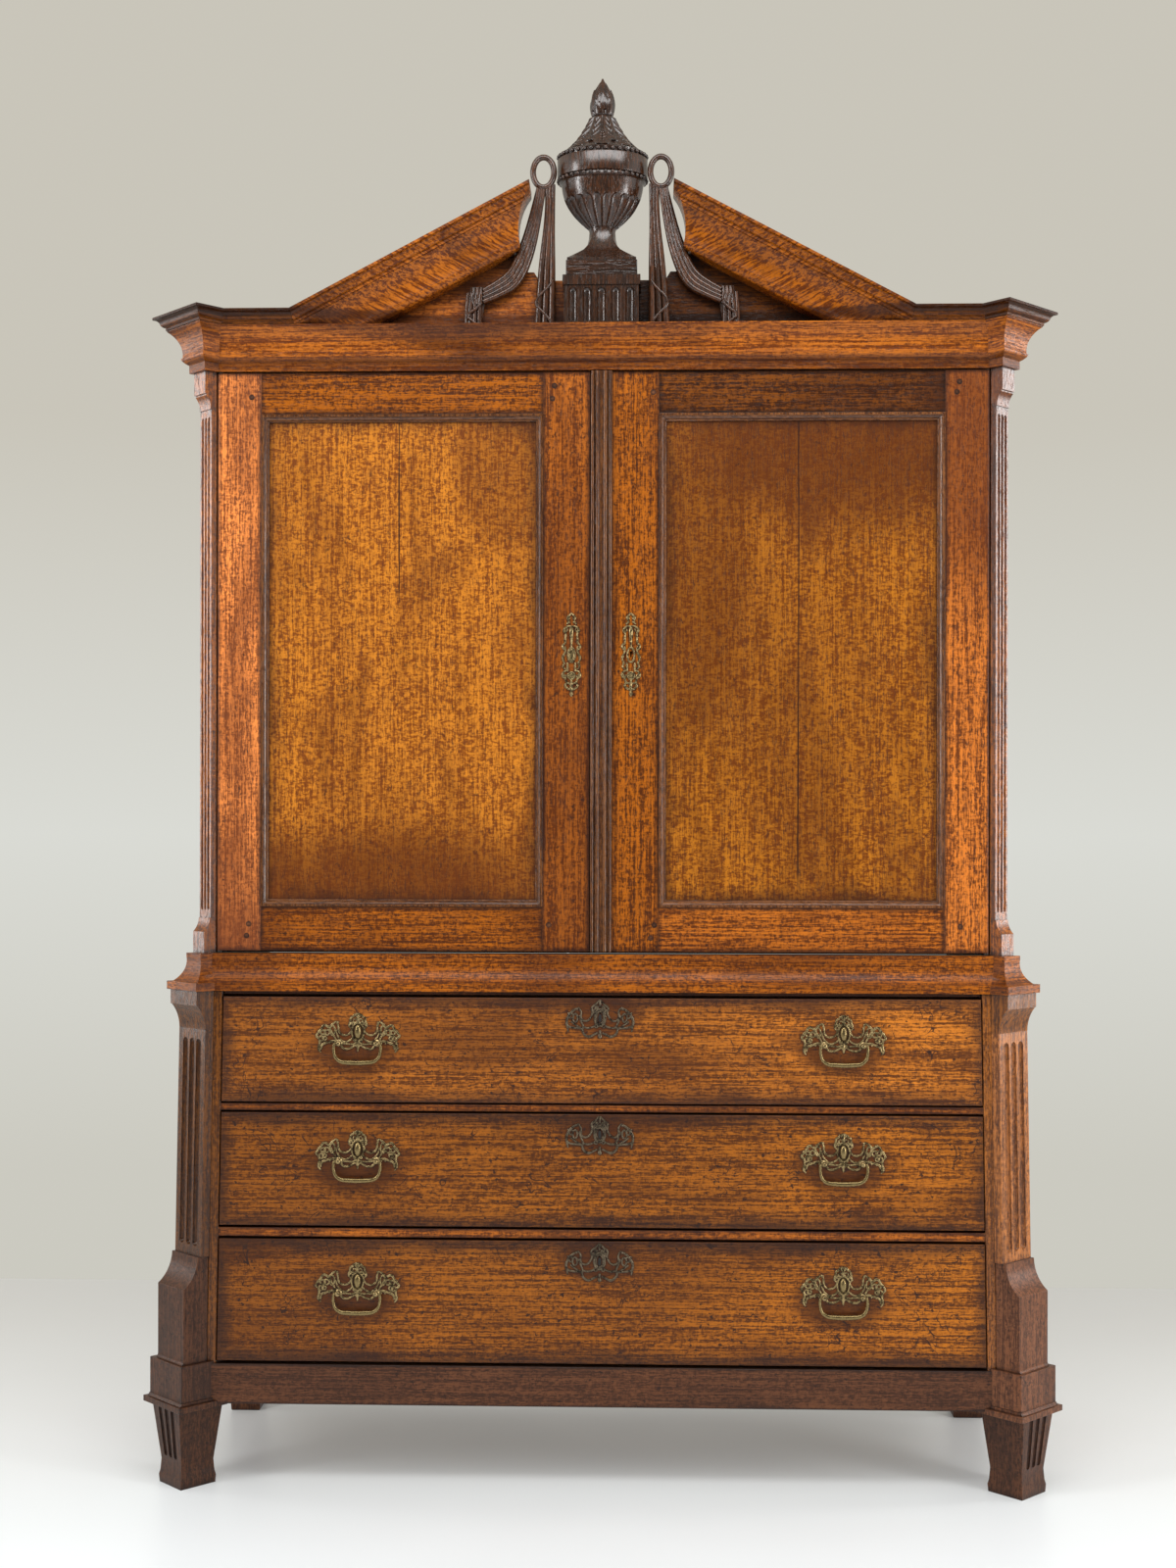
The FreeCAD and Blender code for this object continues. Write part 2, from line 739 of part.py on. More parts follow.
def make_upper_case():
    """Corner posts with door rebates, sides, back, floor, top and shelves."""
    rebate_y = door_thick + door_back_gap
    post_back = rebate_y + post_rebate_depth
    inner_post = door_outer_x - door_rebate_cover
    inner_wall = upper_half_width - carcass_board
    back_front = upper_back_y - back_board
    lip_x = post_lip - upper_stile_half
    plan = [(lip_x, 0), (-upper_stile_half, 0), (-upper_half_width, upper_cant_run),
            (-upper_half_width, post_back), (-inner_post, post_back), (-inner_post, rebate_y),
            (lip_x, rebate_y)]
    keep("upper_corner_posts", pair(upright(plan, waist_top, fascia_bottom)))
    keep("upper_sides", pair(block(-upper_half_width, -inner_wall, post_back, back_front,
                                   waist_top, fascia_bottom)))
    keep("upper_back", block(-upper_half_width, upper_half_width, back_front, upper_back_y,
                             waist_top, fascia_bottom))

    def inner_board(z0, z1):
        """A board between the walls and posts, bored for its sliding bolt."""
        rear = block(-inner_wall, inner_wall, post_back, back_front, z0, z1)
        front = block(-inner_post, inner_post, rebate_y, post_back, z0, z1)
        bore = Part.makeCylinder(slide_bolt_radius + pivot_fit, z1 - z0, V(slide_bolt_x, slide_bolt_y, z0))
        return joined([rear, front]).cut(bore)
    floor_z = waist_top + upper_floor_thick
    top_z = fascia_bottom - top_board_thick
    keep("upper_floor", inner_board(waist_top, floor_z))
    keep("upper_top", inner_board(top_z, fascia_bottom))

    pitch = (top_z - floor_z) / (shelf_count + 1.0)
    shelves = []
    bearers = []
    for i in range(shelf_count):
        z = floor_z + pitch * (i + 1)
        shelves.append(block(-inner_wall, inner_wall, post_back + shelf_set_back, back_front,
                             z, z + shelf_thick))
        bearers += pair(block(-inner_wall, -inner_wall + bearer_width, post_back, back_front,
                              z - bearer_height, z))
    keep("shelves", shelves)
    keep("shelf_bearers", bearers)


def make_upper_pilasters():
    """Narrow fluted pilasters with block capitals and bases beside the doors."""
    half = upper_cant_width / 2.0
    block_bottom = fascia_bottom - upper_capital_block
    capital_bottom = block_bottom - upper_capital_cove
    block_top = waist_top + upper_base_block
    base_top = block_top + upper_base_cove
    plan = [(p.x, p.y) for p in shaft_plan(upper_cant_mid, upper_shaft_proud, half)]
    shaft = upright(plan, base_top, capital_bottom)
    for offset in spread(flute_count, upper_flute_pitch):
        axis = upper_cant_mid + cant_out * (upper_shaft_proud + upper_flute_out) + cant_along * offset
        shaft = shaft.cut(flute_cutter(axis, upper_flute_radius, base_top + upper_flute_margin,
                                       capital_bottom - upper_flute_margin))
    neck = upper_shaft_proud + upper_cove_lip
    lip = upper_block_proud - upper_block_step
    capital = across(upper_cant_mid, half, [
        (0, capital_bottom), (neck, capital_bottom), (lip, block_bottom - upper_block_step, upper_cove_bow),
        (lip, block_bottom), (upper_block_proud, block_bottom), (upper_block_proud, fascia_bottom),
        (0, fascia_bottom)])
    base = across(upper_cant_mid, half, [
        (0, waist_top), (upper_block_proud, waist_top), (upper_block_proud, block_top),
        (neck, base_top, upper_cove_bow), (0, base_top)])
    keep("upper_pilasters", pair(shaft) + pair(capital) + pair(base))


def crown_section(base_z, back=cornice_back):
    """The crown moulding's section, its foot at base_z."""
    head = base_z + crown_height
    ogee_foot = base_z + crown_fillet
    ogee_head = head - crown_fillet
    foot_out = cove_head + crown_step
    head_out = crown_proud - crown_lip
    return [(-back, base_z), (foot_out, base_z), (foot_out, ogee_foot),
            ((foot_out + head_out) / 2.0, (ogee_foot + ogee_head) / 2.0, -crown_bow),
            (head_out, ogee_head, crown_bow), (crown_proud, ogee_head), (crown_proud, head), (-back, head)]


def bed_section(foot_z, head_z, foot_out=0.0):
    """Fascia, bead and large cove of the cornice; head_z is under the crown."""
    bead_foot = head_z - cornice_cove_height - bed_bead_height
    bead_head = head_z - cornice_cove_height
    return [(-cornice_back, foot_z), (foot_out, foot_z), (foot_out, bead_foot),
            (bed_bead_proud, bead_head - bed_bead_step, -bed_bead_bow), (bed_bead_proud, bead_head),
            (cove_foot, bead_head), (cove_head, head_z - cove_lip, cove_bow), (cove_head, head_z),
            (-cornice_back, head_z)]


def make_cornice():
    """The level cornice, whose crown breaks off where the raking cornices begin."""
    path = around(upper_cant_mid, fascia_proud, upper_cant_width / 2.0 + fascia_side,
                  fascia_front_y, upper_half_width + fascia_side_out, upper_back_y)
    bed = moulding(path, bed_section(fascia_bottom, crown_bottom))
    keep("cornice_bed", fitted(bed, [pivot_hole(side, fascia_bottom, 1) for side in (-1, 1)]))
    slope = V(math.cos(math.radians(rake_angle)), 0, math.sin(math.radians(rake_angle)))
    mitre = (V(1, 0, 0) + slope).normalize()
    corner = V(-rake_start_x, 0, cornice_top)
    left_half = [V(0, fascia_front_y, 0)] + path[len(path) // 2:]
    crown = moulding(left_half, crown_section(crown_bottom))
    keep("cornice_crown", pair(crown.cut(half_space(corner, mitre))))

    rise = crown_height + cornice_cove_height + bed_bead_height
    up = V(-slope.z, 0, slope.x)
    start = corner + V(0, fascia_front_y, 0) - up * rise
    length = (rake_start_x - rake_end_x) / slope.x
    rakes = []
    for section in (bed_section(0.0, rise - crown_height, rake_bead_foot),
                    crown_section(rise - crown_height, rake_wall_y - fascia_front_y)):
        face = profile_face(section, start - slope * rise, V(0, -1, 0), up)
        rakes.append(face.extrude(slope * (length + 3.0 * rise)))
    rake = joined(rakes).cut(half_space(corner, mitre * -1.0))
    rake = rake.cut(half_space(V(0, 0, crown_bottom), V(0, 0, -1)))
    keep("raking_cornices", pair(rake.cut(rake_end(cornice_top + length * slope.z))))


def rake_end(tip_z):
    """What is sawn off the inner end of a raking cornice, to leave its scrolled end."""
    past = rake_start_x
    shoulder_z = tip_z - 2.0 * rake_end_step
    heel_z = tip_z - rake_end_drop
    heel_x = -rake_end_x - rake_end_foot
    depth = 2.0 * crown_proud + cornice_back
    return sheet([(-rake_end_x, tip_z + past), (-rake_end_x, tip_z - rake_end_step),
                  (-rake_end_x - rake_end_in, shoulder_z), (heel_x, heel_z + rake_heel_height, -rake_end_bow),
                  (heel_x - rake_heel_in, heel_z), (past, heel_z), (past, tip_z + past)], -depth, 2.0 * depth)


def make_pedestal():
    """The fluted block under the urn, with its cap and the tail that fixes it behind."""
    half = pedestal_width / 2.0
    rear = pedestal_front_y + pedestal_width
    cap_foot = pedestal_top - pedestal_cap
    over = pedestal_cap_over
    body = block(-half, half, pedestal_front_y, rear, crown_bottom, cap_foot)
    tail = block(-half, half, rake_wall_y, rear, fascia_bottom, crown_bottom)
    cap = block(-half - over, half + over, pedestal_front_y - over, rear + over, cap_foot, pedestal_top)
    body = joined([body, tail, cap])
    low_z = crown_bottom + pedestal_flute_low
    high_z = cap_foot - pedestal_flute_high - pedestal_flute_radius
    for x in spread(pedestal_flutes, pedestal_flute_pitch):
        foot = V(x, pedestal_front_y - pedestal_flute_out, low_z)
        groove = Part.makeCylinder(pedestal_flute_radius, high_z - low_z, foot)
        body = body.cut(groove.fuse(Part.makeSphere(pedestal_flute_radius, V(foot.x, foot.y, high_z))))
    keep("urn_pedestal", body)


def make_tympanum():
    """The boards behind the raking cornices, cut round the pedestal."""
    tan_slope = math.tan(math.radians(rake_angle))

    def rake_top(x):
        return cornice_top + (rake_start_x - x) * tan_slope - tympanum_sink
    inner_x = pedestal_width / 2.0
    outer_x = rake_start_x - tympanum_heel_in
    shoulder_z = crown_bottom + tympanum_shoulder_height
    centre_z = crown_bottom + tympanum_centre_height
    board = sheet([(-inner_x, fascia_bottom), (-outer_x, fascia_bottom), (-outer_x, rake_top(outer_x)),
                   (-tympanum_end_x, rake_top(tympanum_end_x)), (-tympanum_end_x, shoulder_z),
                   (-tympanum_shoulder_x, shoulder_z), (tympanum_slope - tympanum_shoulder_x, centre_z),
                   (-inner_x, centre_z)], rake_wall_y, tympanum_thick)
    keep("tympanum", pair(fitted(board, nodes["urn_pedestal"])))


def make_urn():
    """The urn on its square plinth, and the lid with its flame."""
    centre_y = pedestal_front_y + pedestal_width / 2.0
    step = urn_plinth_width / 2.0
    foot = pedestal_top + urn_plinth_height
    stem_top = foot + urn_stem_height
    bowl_top = stem_top + urn_bowl_height
    band_foot = bowl_top + urn_rim_height
    band_top = band_foot + urn_band_height
    lid_foot = band_top + urn_bead_height
    lid_top = lid_foot + urn_lid_height

    def turned(profile):
        face = profile_face(profile, V(0, centre_y, 0), V(1, 0, 0))
        return face.revolve(V(0, centre_y, 0), V(0, 0, 1), 360)
    plinth = block(-step, step, centre_y - step, centre_y + step, pedestal_top, foot)
    bowl = turned([
        (0, foot), (urn_disc_radius, foot), (urn_disc_radius, foot + urn_disc_thick),
        (urn_foot_radius, foot + urn_foot_step), (urn_neck_radius, stem_top - urn_neck_band, urn_stem_bow),
        (urn_neck_radius + urn_neck_lip, stem_top), (urn_bowl_radius, bowl_top, -urn_bowl_bow),
        (urn_bowl_radius + urn_rim_swell, band_foot - urn_rim_step), (urn_band_radius, band_foot),
        (urn_band_radius, band_top), (0, band_top)])
    lid = turned([
        (0, band_top), (urn_band_radius, band_top), (urn_band_radius - urn_bead_in, lid_foot),
        (urn_lid_radius, lid_foot), (urn_lid_top_radius, lid_top, urn_lid_bow), (0, lid_top)])
    flame = turned([
        (0, lid_top), (flame_foot_radius, lid_top),
        (flame_shoulder_radius, lid_top + flame_shoulder_height, -flame_bow),
        (flame_neck_radius, lid_top + flame_neck_height), (0, lid_top + flame_height)])
    keep("urn", [plinth, bowl])
    keep("urn_lid", [lid, flame])


def make_drapery():
    """A ring beside the urn, a straight fall of cloth and a swag tied in a knot."""
    y = drape_front_y
    foot_z = crown_bottom
    mid_z = foot_z + ring_rise
    low = mid_z - ring_height / 2.0
    knot_z = foot_z + knot_rise
    rear = y + drape_thick

    def oval(width, height):
        """An upright oval round the middle of the ring, as thick as the cloth."""
        line = Part.Ellipse(V(0, 0, 0), height / 2.0, width / 2.0).toShape()
        stand = FreeCAD.Rotation(V(0, 0, 1), V(1, 0, 0), V(0, -1, 0), "ZXY")
        line.Placement = FreeCAD.Placement(V(-ring_x, y, mid_z), stand)
        return Part.Face(Part.Wire(line)).extrude(V(0, drape_thick, 0))
    ring = oval(ring_width, ring_height).cut(oval(ring_hole_width, ring_hole_height))
    fall = sheet([(-fall_in - fall_top_width, low + ring_lap), (-fall_in, low + ring_lap), (-fall_in, foot_z),
                  (-fall_out, foot_z)], y, drape_thick)
    swag_x = swag_in - ring_x
    swag = sheet([(swag_x, low - swag_foot_drop, -swag_lower_bow), (swag_x, low + ring_lap),
                  (swag_x - swag_top_width, low + ring_lap - swag_top_slope),
                  (-swag_end_x, knot_z + swag_end_height / 2.0, swag_upper_bow),
                  (-swag_end_x, knot_z - swag_end_height / 2.0)], y, drape_thick)
    tie = block(-knot_x, -swag_end_x + knot_lap, y, rear,
                knot_z - knot_height / 2.0, knot_z + knot_height / 2.0)
    tail = block(-knot_x + tail_outer_in, -swag_end_x - tail_inner_in, y, rear, foot_z, knot_z)
    peg = block(-ring_x + ring_width / 2.0 - ring_peg_sink, -urn_bowl_radius, rear - ring_peg_thick, rear,
                mid_z - ring_peg_height / 2.0, mid_z + ring_peg_height / 2.0)
    cloth = joined([ring, fall, swag, tie, tail, peg])
    keep("drapery", pair(fitted(cloth, [nodes["urn"][1], nodes["raking_cornices"][0]])))


def door_pieces(side):
    """Frame, panel, moulding and pivots of one door; side is -1 for left, 1 for right."""
    edge = door_meeting_x - door_meeting_gap if side < 0 else door_meeting_x
    outer = side * door_outer_x
    sight_out = side * (door_outer_x - door_stile)
    sight_in = edge - door_meeting_stile if side < 0 else -door_meeting_x + door_meeting_stile
    low = door_bottom + door_bottom_rail
    high = door_top - door_top_rail
    x_lo = min(sight_out, sight_in)
    x_hi = max(sight_out, sight_in)
    round_bow = -side * pivot_inset * (1.0 - 1.0 / root_two)
    outer_stile = upright([(sight_out, 0), (outer - side * pivot_inset, 0), (outer, pivot_inset, round_bow),
                           (outer, door_thick), (sight_out, door_thick)], door_bottom, door_top)
    meeting = block(min(edge, sight_in), max(edge, sight_in), 0, door_thick, door_bottom, door_top)
    top = block(x_lo, x_hi, 0, door_thick, high, door_top)
    bottom = block(x_lo, x_hi, 0, door_thick, door_bottom, low)
    panel_back = panel_front_y + panel_thick
    t = panel_tongue
    g = panel_tongue + panel_side_gap
    groove = block(x_lo - g, x_hi + g, panel_front_y, panel_back, low - g, high + g)
    frame = [piece.cut(groove) for piece in (outer_stile, meeting, top, bottom)]
    panel = block(x_lo - t, x_hi + t, panel_front_y, panel_back, low - t, high + t)

    path = [V(x_lo, low, 0), V(x_hi, low, 0), V(x_hi, high, 0), V(x_lo, high, 0)]
    lip = door_mould_lip - panel_front_y
    ring = moulding(path, [
        (0, -panel_front_y), (door_mould_width, -panel_front_y), (door_mould_width, lip),
        (door_mould_width - door_mould_step, lip + door_mould_fillet),
        (door_mould_top, door_mould_proud - door_mould_step, -door_mould_bow),
        (door_mould_top, door_mould_proud), (0, door_mould_proud)], True)
    ring.rotate(V(0, 0, 0), V(1, 0, 0), 90)

    pins = []
    for z, direction, seat in ((door_bottom, -1, waist_top), (door_top, 1, fascia_bottom)):
        gap = abs(seat - z)
        up = V(0, 0, direction)
        at = V(side * pivot_x, pivot_inset, z)
        socket = Part.makeCylinder(pivot_radius, pivot_reach, at, up * -1.0)
        pin = Part.makeCylinder(pivot_radius, gap + pivot_reach - pivot_end_gap, at, up)
        collar = Part.makeCylinder(pivot_collar, gap - running_gap, at, up)
        pins.append(joined([socket, pin, collar]))
        frame[0] = frame[0].cut(socket)
    return frame, panel, ring, pins


def keyhole(x, z, y0, y1):
    """A keyhole cutter: a round top over a narrow slot."""
    bore = Part.makeCylinder(keyhole_radius, y1 - y0, V(x, y0, z + keyhole_slot / 2.0), V(0, 1, 0))
    slot = block(x - keyhole_radius / 2.0, x + keyhole_radius / 2.0, y0, y1,
                 z - keyhole_slot / 2.0, z + keyhole_slot / 2.0)
    return bore.fuse(slot)


def shaped_plate(right_half, x, z, y):
    """A flat plate alike on both sides, from the right half of its outline, top to bottom."""
    left_half = [(-a, b) for a, b in reversed(right_half[1:-1])]
    return sheet([(x + a, z + b) for a, b in right_half + left_half], y, -plate_thick)


def door_scutcheon(x):
    """A tall shaped plate round the keyhole."""
    z = door_scutcheon_mid_z
    h = door_scutcheon_height / 2.0
    w = door_scutcheon_width / 2.0
    right_half = [
        (0, h), (0.45 * w, 0.8 * h), (0.9 * w, 0.62 * h), (0.7 * w, 0.3 * h), (w, 0.05 * h),
        (0.85 * w, -0.2 * h), (w, -0.48 * h), (0.6 * w, -0.72 * h), (0.25 * w, -0.86 * h), (0, -h)]
    return shaped_plate(right_half, x, z, 0).cut(keyhole(x, z, -plate_thick - beyond, beyond))


def bolt_channel(bolt_box, gap):
    """The space that a lock's bolt slides in, with a gap on every side."""
    x0, x1, y0, y1, z0, z1 = bolt_box
    return block(x0 - gap, x1 + gap, y0 - gap, y1 + gap, z0 - gap, z1 + gap)


def make_doors():
    """Both panelled doors; the right one carries the astragal and the lock."""
    z = door_scutcheon_mid_z
    frame, panel, ring, pins = door_pieces(-1)
    catch = bolt_channel((door_meeting_x - door_meeting_gap - bolt_travel - bolt_head_room, door_meeting_x,
                          door_bolt_y, door_bolt_y + bolt_thick, z - bolt_width / 2.0, z + bolt_width / 2.0),
                         bolt_cut_gap)
    frame[1] = frame[1].cut(catch)
    keep("left_door_frame", frame)
    keep("left_door_panel", panel)
    keep("left_door_moulding", ring)
    keep("left_door_scutcheon", door_scutcheon(-door_scutcheon_x))
    staples = []
    for name, end, direction in (
            ("left_door_top_bolt", fascia_bottom - top_board_thick - slide_bolt_end_gap, -1),
            ("left_door_bottom_bolt", waist_top + upper_floor_thick + slide_bolt_end_gap, 1)):
        along = V(0, 0, direction)
        tip = V(slide_bolt_x, slide_bolt_y, end)
        rod = Part.makeCylinder(slide_bolt_radius, slide_bolt_length, tip, along)
        knob = Part.makeCylinder(slide_knob_radius, slide_knob_reach, tip + along * (slide_bolt_length / 2.0),
                                 V(0, 1, 0))
        keep(name, joined([rod, knob]))
        bore = Part.makeCylinder(slide_bolt_radius + bail_pin_fit, slide_bolt_length, tip, along)
        for at in (staple_in, slide_bolt_length - staple_in):
            mid_z = end + direction * at
            staple = block(slide_bolt_x - staple_width / 2.0, slide_bolt_x + staple_width / 2.0,
                           door_thick, door_thick + staple_thick,
                           mid_z - staple_height / 2.0, mid_z + staple_height / 2.0)
            staples.append(staple.cut(bore))
    keep("left_door_irons", pins + staples)

    frame, panel, ring, pins = door_pieces(1)
    case = block(door_meeting_x, door_meeting_x + lock_case_width, door_thick - lock_case_thick, door_thick,
                 z - lock_case_height / 2.0, z + lock_case_height / 2.0)
    bolt_box = (door_meeting_x, door_meeting_x + bolt_height, door_bolt_y, door_bolt_y + bolt_thick,
                z - bolt_width / 2.0, z + bolt_width / 2.0)
    hole = keyhole(door_scutcheon_x, z, -beyond, door_thick + beyond)
    frame[1] = frame[1].cut(case).cut(hole)
    keep("right_door_frame", frame)
    keep("right_door_panel", panel)
    keep("right_door_moulding", ring)
    keep("right_door_scutcheon", door_scutcheon(door_scutcheon_x))
    keep("right_door_irons", pins + [case.cut(bolt_channel(bolt_box, bolt_cut_gap))])
    keep("right_door_lock_bolt", block(*bolt_box))
    keep("right_door_astragal", astragal())


def astragal():
    """The four-beaded strip that covers the gap between the doors."""
    half = astragal_width / 2.0
    inner = astragal_groove / 2.0 + astragal_bead
    bow = astragal_proud - astragal_step
    plan = [(half, 0)]
    for start, rise in ((half, astragal_edge), (inner, astragal_step),
                        (inner - astragal_bead - astragal_groove, astragal_step),
                        (astragal_bead - half, astragal_edge)):
        plan += [(start, -rise), (start - astragal_bead, -rise, bow)]
    plan.append((-half, 0))
    return upright(plan, door_bottom, door_top)


def back_plate(x, z, y):
    """The shaped and pierced plate behind a bail, with its two posts."""
    w = plate_width / 2.0
    h = plate_height
    right_half = [
        (0, 0.6 * h), (0.16 * w, 0.53 * h), (0.24 * w, 0.33 * h), (0.4 * w, 0.2 * h), (0.54 * w, 0.24 * h),
        (0.62 * w, 0.39 * h), (0.86 * w, 0.33 * h), (w, 0.12 * h), (0.95 * w, -0.18 * h),
        (0.87 * w, -0.29 * h), (0.78 * w, -0.06 * h), (0.6 * w, -0.08 * h), (0.45 * w, -0.18 * h),
        (0.18 * w, -0.26 * h), (0, -0.4 * h)]
    holes = ((0.3 * w, -0.04 * h, 4.0), (0.72 * w, 0.16 * h, 5.0), (0.2 * w, 0.2 * h, 3.0))
    plate = shaped_plate(right_half, x, z, y)
    pieces = []
    for side in (-1, 1):
        for out, up, radius in holes:
            plate = plate.cut(Part.makeCylinder(radius, plate_thick + 2.0 * beyond,
                                                V(x + side * out, y + beyond, z + up), V(0, -1, 0)))
        post_x = x + side * post_spread / 2.0
        post = Part.makeCylinder(post_radius, post_reach, V(post_x, y, z), V(0, -1, 0))
        eye = Part.makeCylinder(bail_pin_radius + bail_pin_fit, 2.0 * (post_radius + beyond),
                                V(post_x - post_radius - beyond, bail_axis_y, z), V(1, 0, 0))
        pieces.append(post.cut(eye))
    return joined([plate] + pieces)


def bail(x, z):
    """A drop handle whose inturned ends pivot in the posts."""
    y = bail_axis_y
    r = bail_bar_radius
    half = post_spread / 2.0 + post_radius + r + bail_side_gap
    low = z - bail_drop
    inner = half - bail_bend
    turn = bail_bend * (1.0 - 1.0 / root_two)

    def at(out, height):
        return V(x + out, y, height)
    edges = [Part.makeLine(at(-half, z + r), at(-half, low + bail_bend)),
             Part.Arc(at(-half, low + bail_bend), at(-half + turn, low + turn), at(-inner, low)).toShape(),
             Part.makeLine(at(-inner, low), at(inner, low)),
             Part.Arc(at(inner, low), at(half - turn, low + turn), at(half, low + bail_bend)).toShape(),
             Part.makeLine(at(half, low + bail_bend), at(half, z + r))]
    ring = Part.Wire(Part.makeCircle(r, at(-half, z + r), V(0, 0, 1)))
    bar = Part.Wire(edges).makePipeShell([ring], True, False)
    pins = [Part.makeCylinder(bail_pin_radius, bail_pin_reach + r, at(side * half, z), V(-side, 0, 0))
            for side in (-1, 1)]
    return joined([bar] + pins)


def drawer_scutcheon(z, y):
    """A wide shaped plate round a drawer's keyhole, hung from its top edge at z."""
    w = scutcheon_width / 2.0
    h = scutcheon_height
    right_half = [
        (0, 0), (0.18 * w, -0.1 * h), (0.3 * w, -0.42 * h), (0.5 * w, -0.5 * h), (0.62 * w, -0.24 * h),
        (0.82 * w, -0.3 * h), (w, -0.62 * h), (0.93 * w, -0.78 * h), (0.72 * w, -0.72 * h),
        (0.5 * w, -0.84 * h), (0.2 * w, -0.9 * h), (0, -h)]
    return shaped_plate(right_half, 0, z, y).cut(
        keyhole(0, z - scutcheon_key_drop, y - plate_thick - beyond, y + beyond))


def make_drawer(name, bottom, height, handle_drop):
    """One drawer: front, dovetailed box, brass fittings, lock bolt and bails."""
    top = bottom + height
    y = drawer_front_y
    rear = y + drawer_front_thick
    low_half = drawer_half_width(bottom)
    high_half = drawer_half_width(top)
    front = sheet([(-low_half, bottom), (low_half, bottom), (high_half, top), (-high_half, top)],
                  y, drawer_front_thick)
    rim = [edge for edge in front.Edges if edge.BoundBox.YMax < y + small]
    front = front.makeFillet(drawer_edge_round, rim)
    plate_top = top - scutcheon_top_gap
    case = block(-lock_case_width / 2.0, lock_case_width / 2.0, rear - lock_case_thick, rear,
                 top - lock_case_height, top)
    bolt_box = (-bolt_width / 2.0, bolt_width / 2.0, drawer_bolt_y - bolt_thick, drawer_bolt_y,
                top - bolt_height, top)
    hole = keyhole(0, plate_top - scutcheon_key_drop, y - beyond, rear + beyond)
    keep(name + "_front", fitted(front, [hole, case]))

    half = high_half - drawer_guide_gap
    inner = half - drawer_side_thick
    box_back = rear + drawer_box_length
    wall_top = top - drawer_box_drop
    floor_z = bottom + drawer_bottom_rise
    floor = block(-inner - drawer_bottom_housing, inner + drawer_bottom_housing, rear,
                  box_back - drawer_back_thick, floor_z, floor_z + drawer_bottom_thick)
    wall = block(-half, -inner, rear, box_back, bottom, wall_top).cut(floor)
    back = block(-inner, inner, box_back - drawer_back_thick, box_back, bottom, wall_top - drawer_back_drop)
    keep(name + "_box", pair(wall) + [back, floor])

    z_pivot = top - handle_drop
    plates = [back_plate(side * handle_x, z_pivot, y) for side in (-1, 1)]
    channel = bolt_channel(bolt_box, bolt_cut_gap)
    keep(name + "_fittings", plates + [drawer_scutcheon(plate_top, y), case.cut(channel)])
    keep(name + "_lock_bolt", block(*bolt_box))
    keep(name + "_bail_left", bail(-handle_x, z_pivot))
    keep(name + "_bail_right", bail(handle_x, z_pivot))


def tell_motion(name, place, axis, reach):
    """Print where a joint lies in the finished frame, and how far it goes."""
    at = place + centre_shift
    print("joint", name, [round(v, 2) for v in (at.x, at.y, at.z)], axis, 0.0, "to", reach)


def tell_motions():
    """Print each joint's place, axis and travel, in millimetres or degrees."""
    for side, name in ((-1, "left_door"), (1, "right_door")):
        tell_motion(name, V(side * pivot_x, pivot_inset, door_bottom), (0, 0, side), door_open_angle)
    for name, bottom, height, drop in drawers:
        top = bottom + height
        tell_motion(name, V(0, drawer_front_y, bottom), (0, -1, 0), drawer_travel)
        tell_motion(name + "_lock_bolt", V(0, drawer_bolt_y, top), (0, 0, 1), bolt_travel)
        for side, hand in ((-1, "_bail_left"), (1, "_bail_right")):
            tell_motion(name + hand, V(side * handle_x, bail_axis_y, top - drop), (-1, 0, 0), bail_lift_angle)
    tell_motion("right_door_lock_bolt", V(door_meeting_x, door_bolt_y, door_scutcheon_mid_z), (-1, 0, 0),
                bolt_travel)
    for name, z, up in (("left_door_top_bolt", fascia_bottom, 1), ("left_door_bottom_bolt", waist_top, -1)):
        tell_motion(name, V(slide_bolt_x, slide_bolt_y, z), (0, 0, up), slide_bolt_travel)


def main():
    """Build every piece and write it beside this file."""
    make_lower_case()
    make_lower_pilasters()
    make_feet()
    make_waist()
    make_upper_case()
    make_upper_pilasters()
    make_cornice()
    make_pedestal()
    make_tympanum()
    make_urn()
    make_drapery()
    make_doors()
    for name, bottom, height, handle_drop in drawers:
        make_drawer(name, bottom, height, handle_drop)
    os.makedirs("parts", exist_ok=True)
    for name, shapes in nodes.items():
        solids = [solid for shape in shapes for solid in shape.Solids]
        whole = solids[0].copy() if len(solids) == 1 else Part.makeCompound(solids)
        whole.translate(centre_shift)
        whole.exportStep("parts/" + name + ".step")
        box = whole.BoundBox
        print(name, len(solids), whole.isValid(), round(whole.Volume / 1000.0, 1), "cm3",
              [round(v, 1) for v in (box.XMin, box.XMax, box.YMin, box.YMax, box.ZMin, box.ZMax)])
    tell_motions()


main()
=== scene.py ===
import bmesh
import bpy
import json
import math
import random

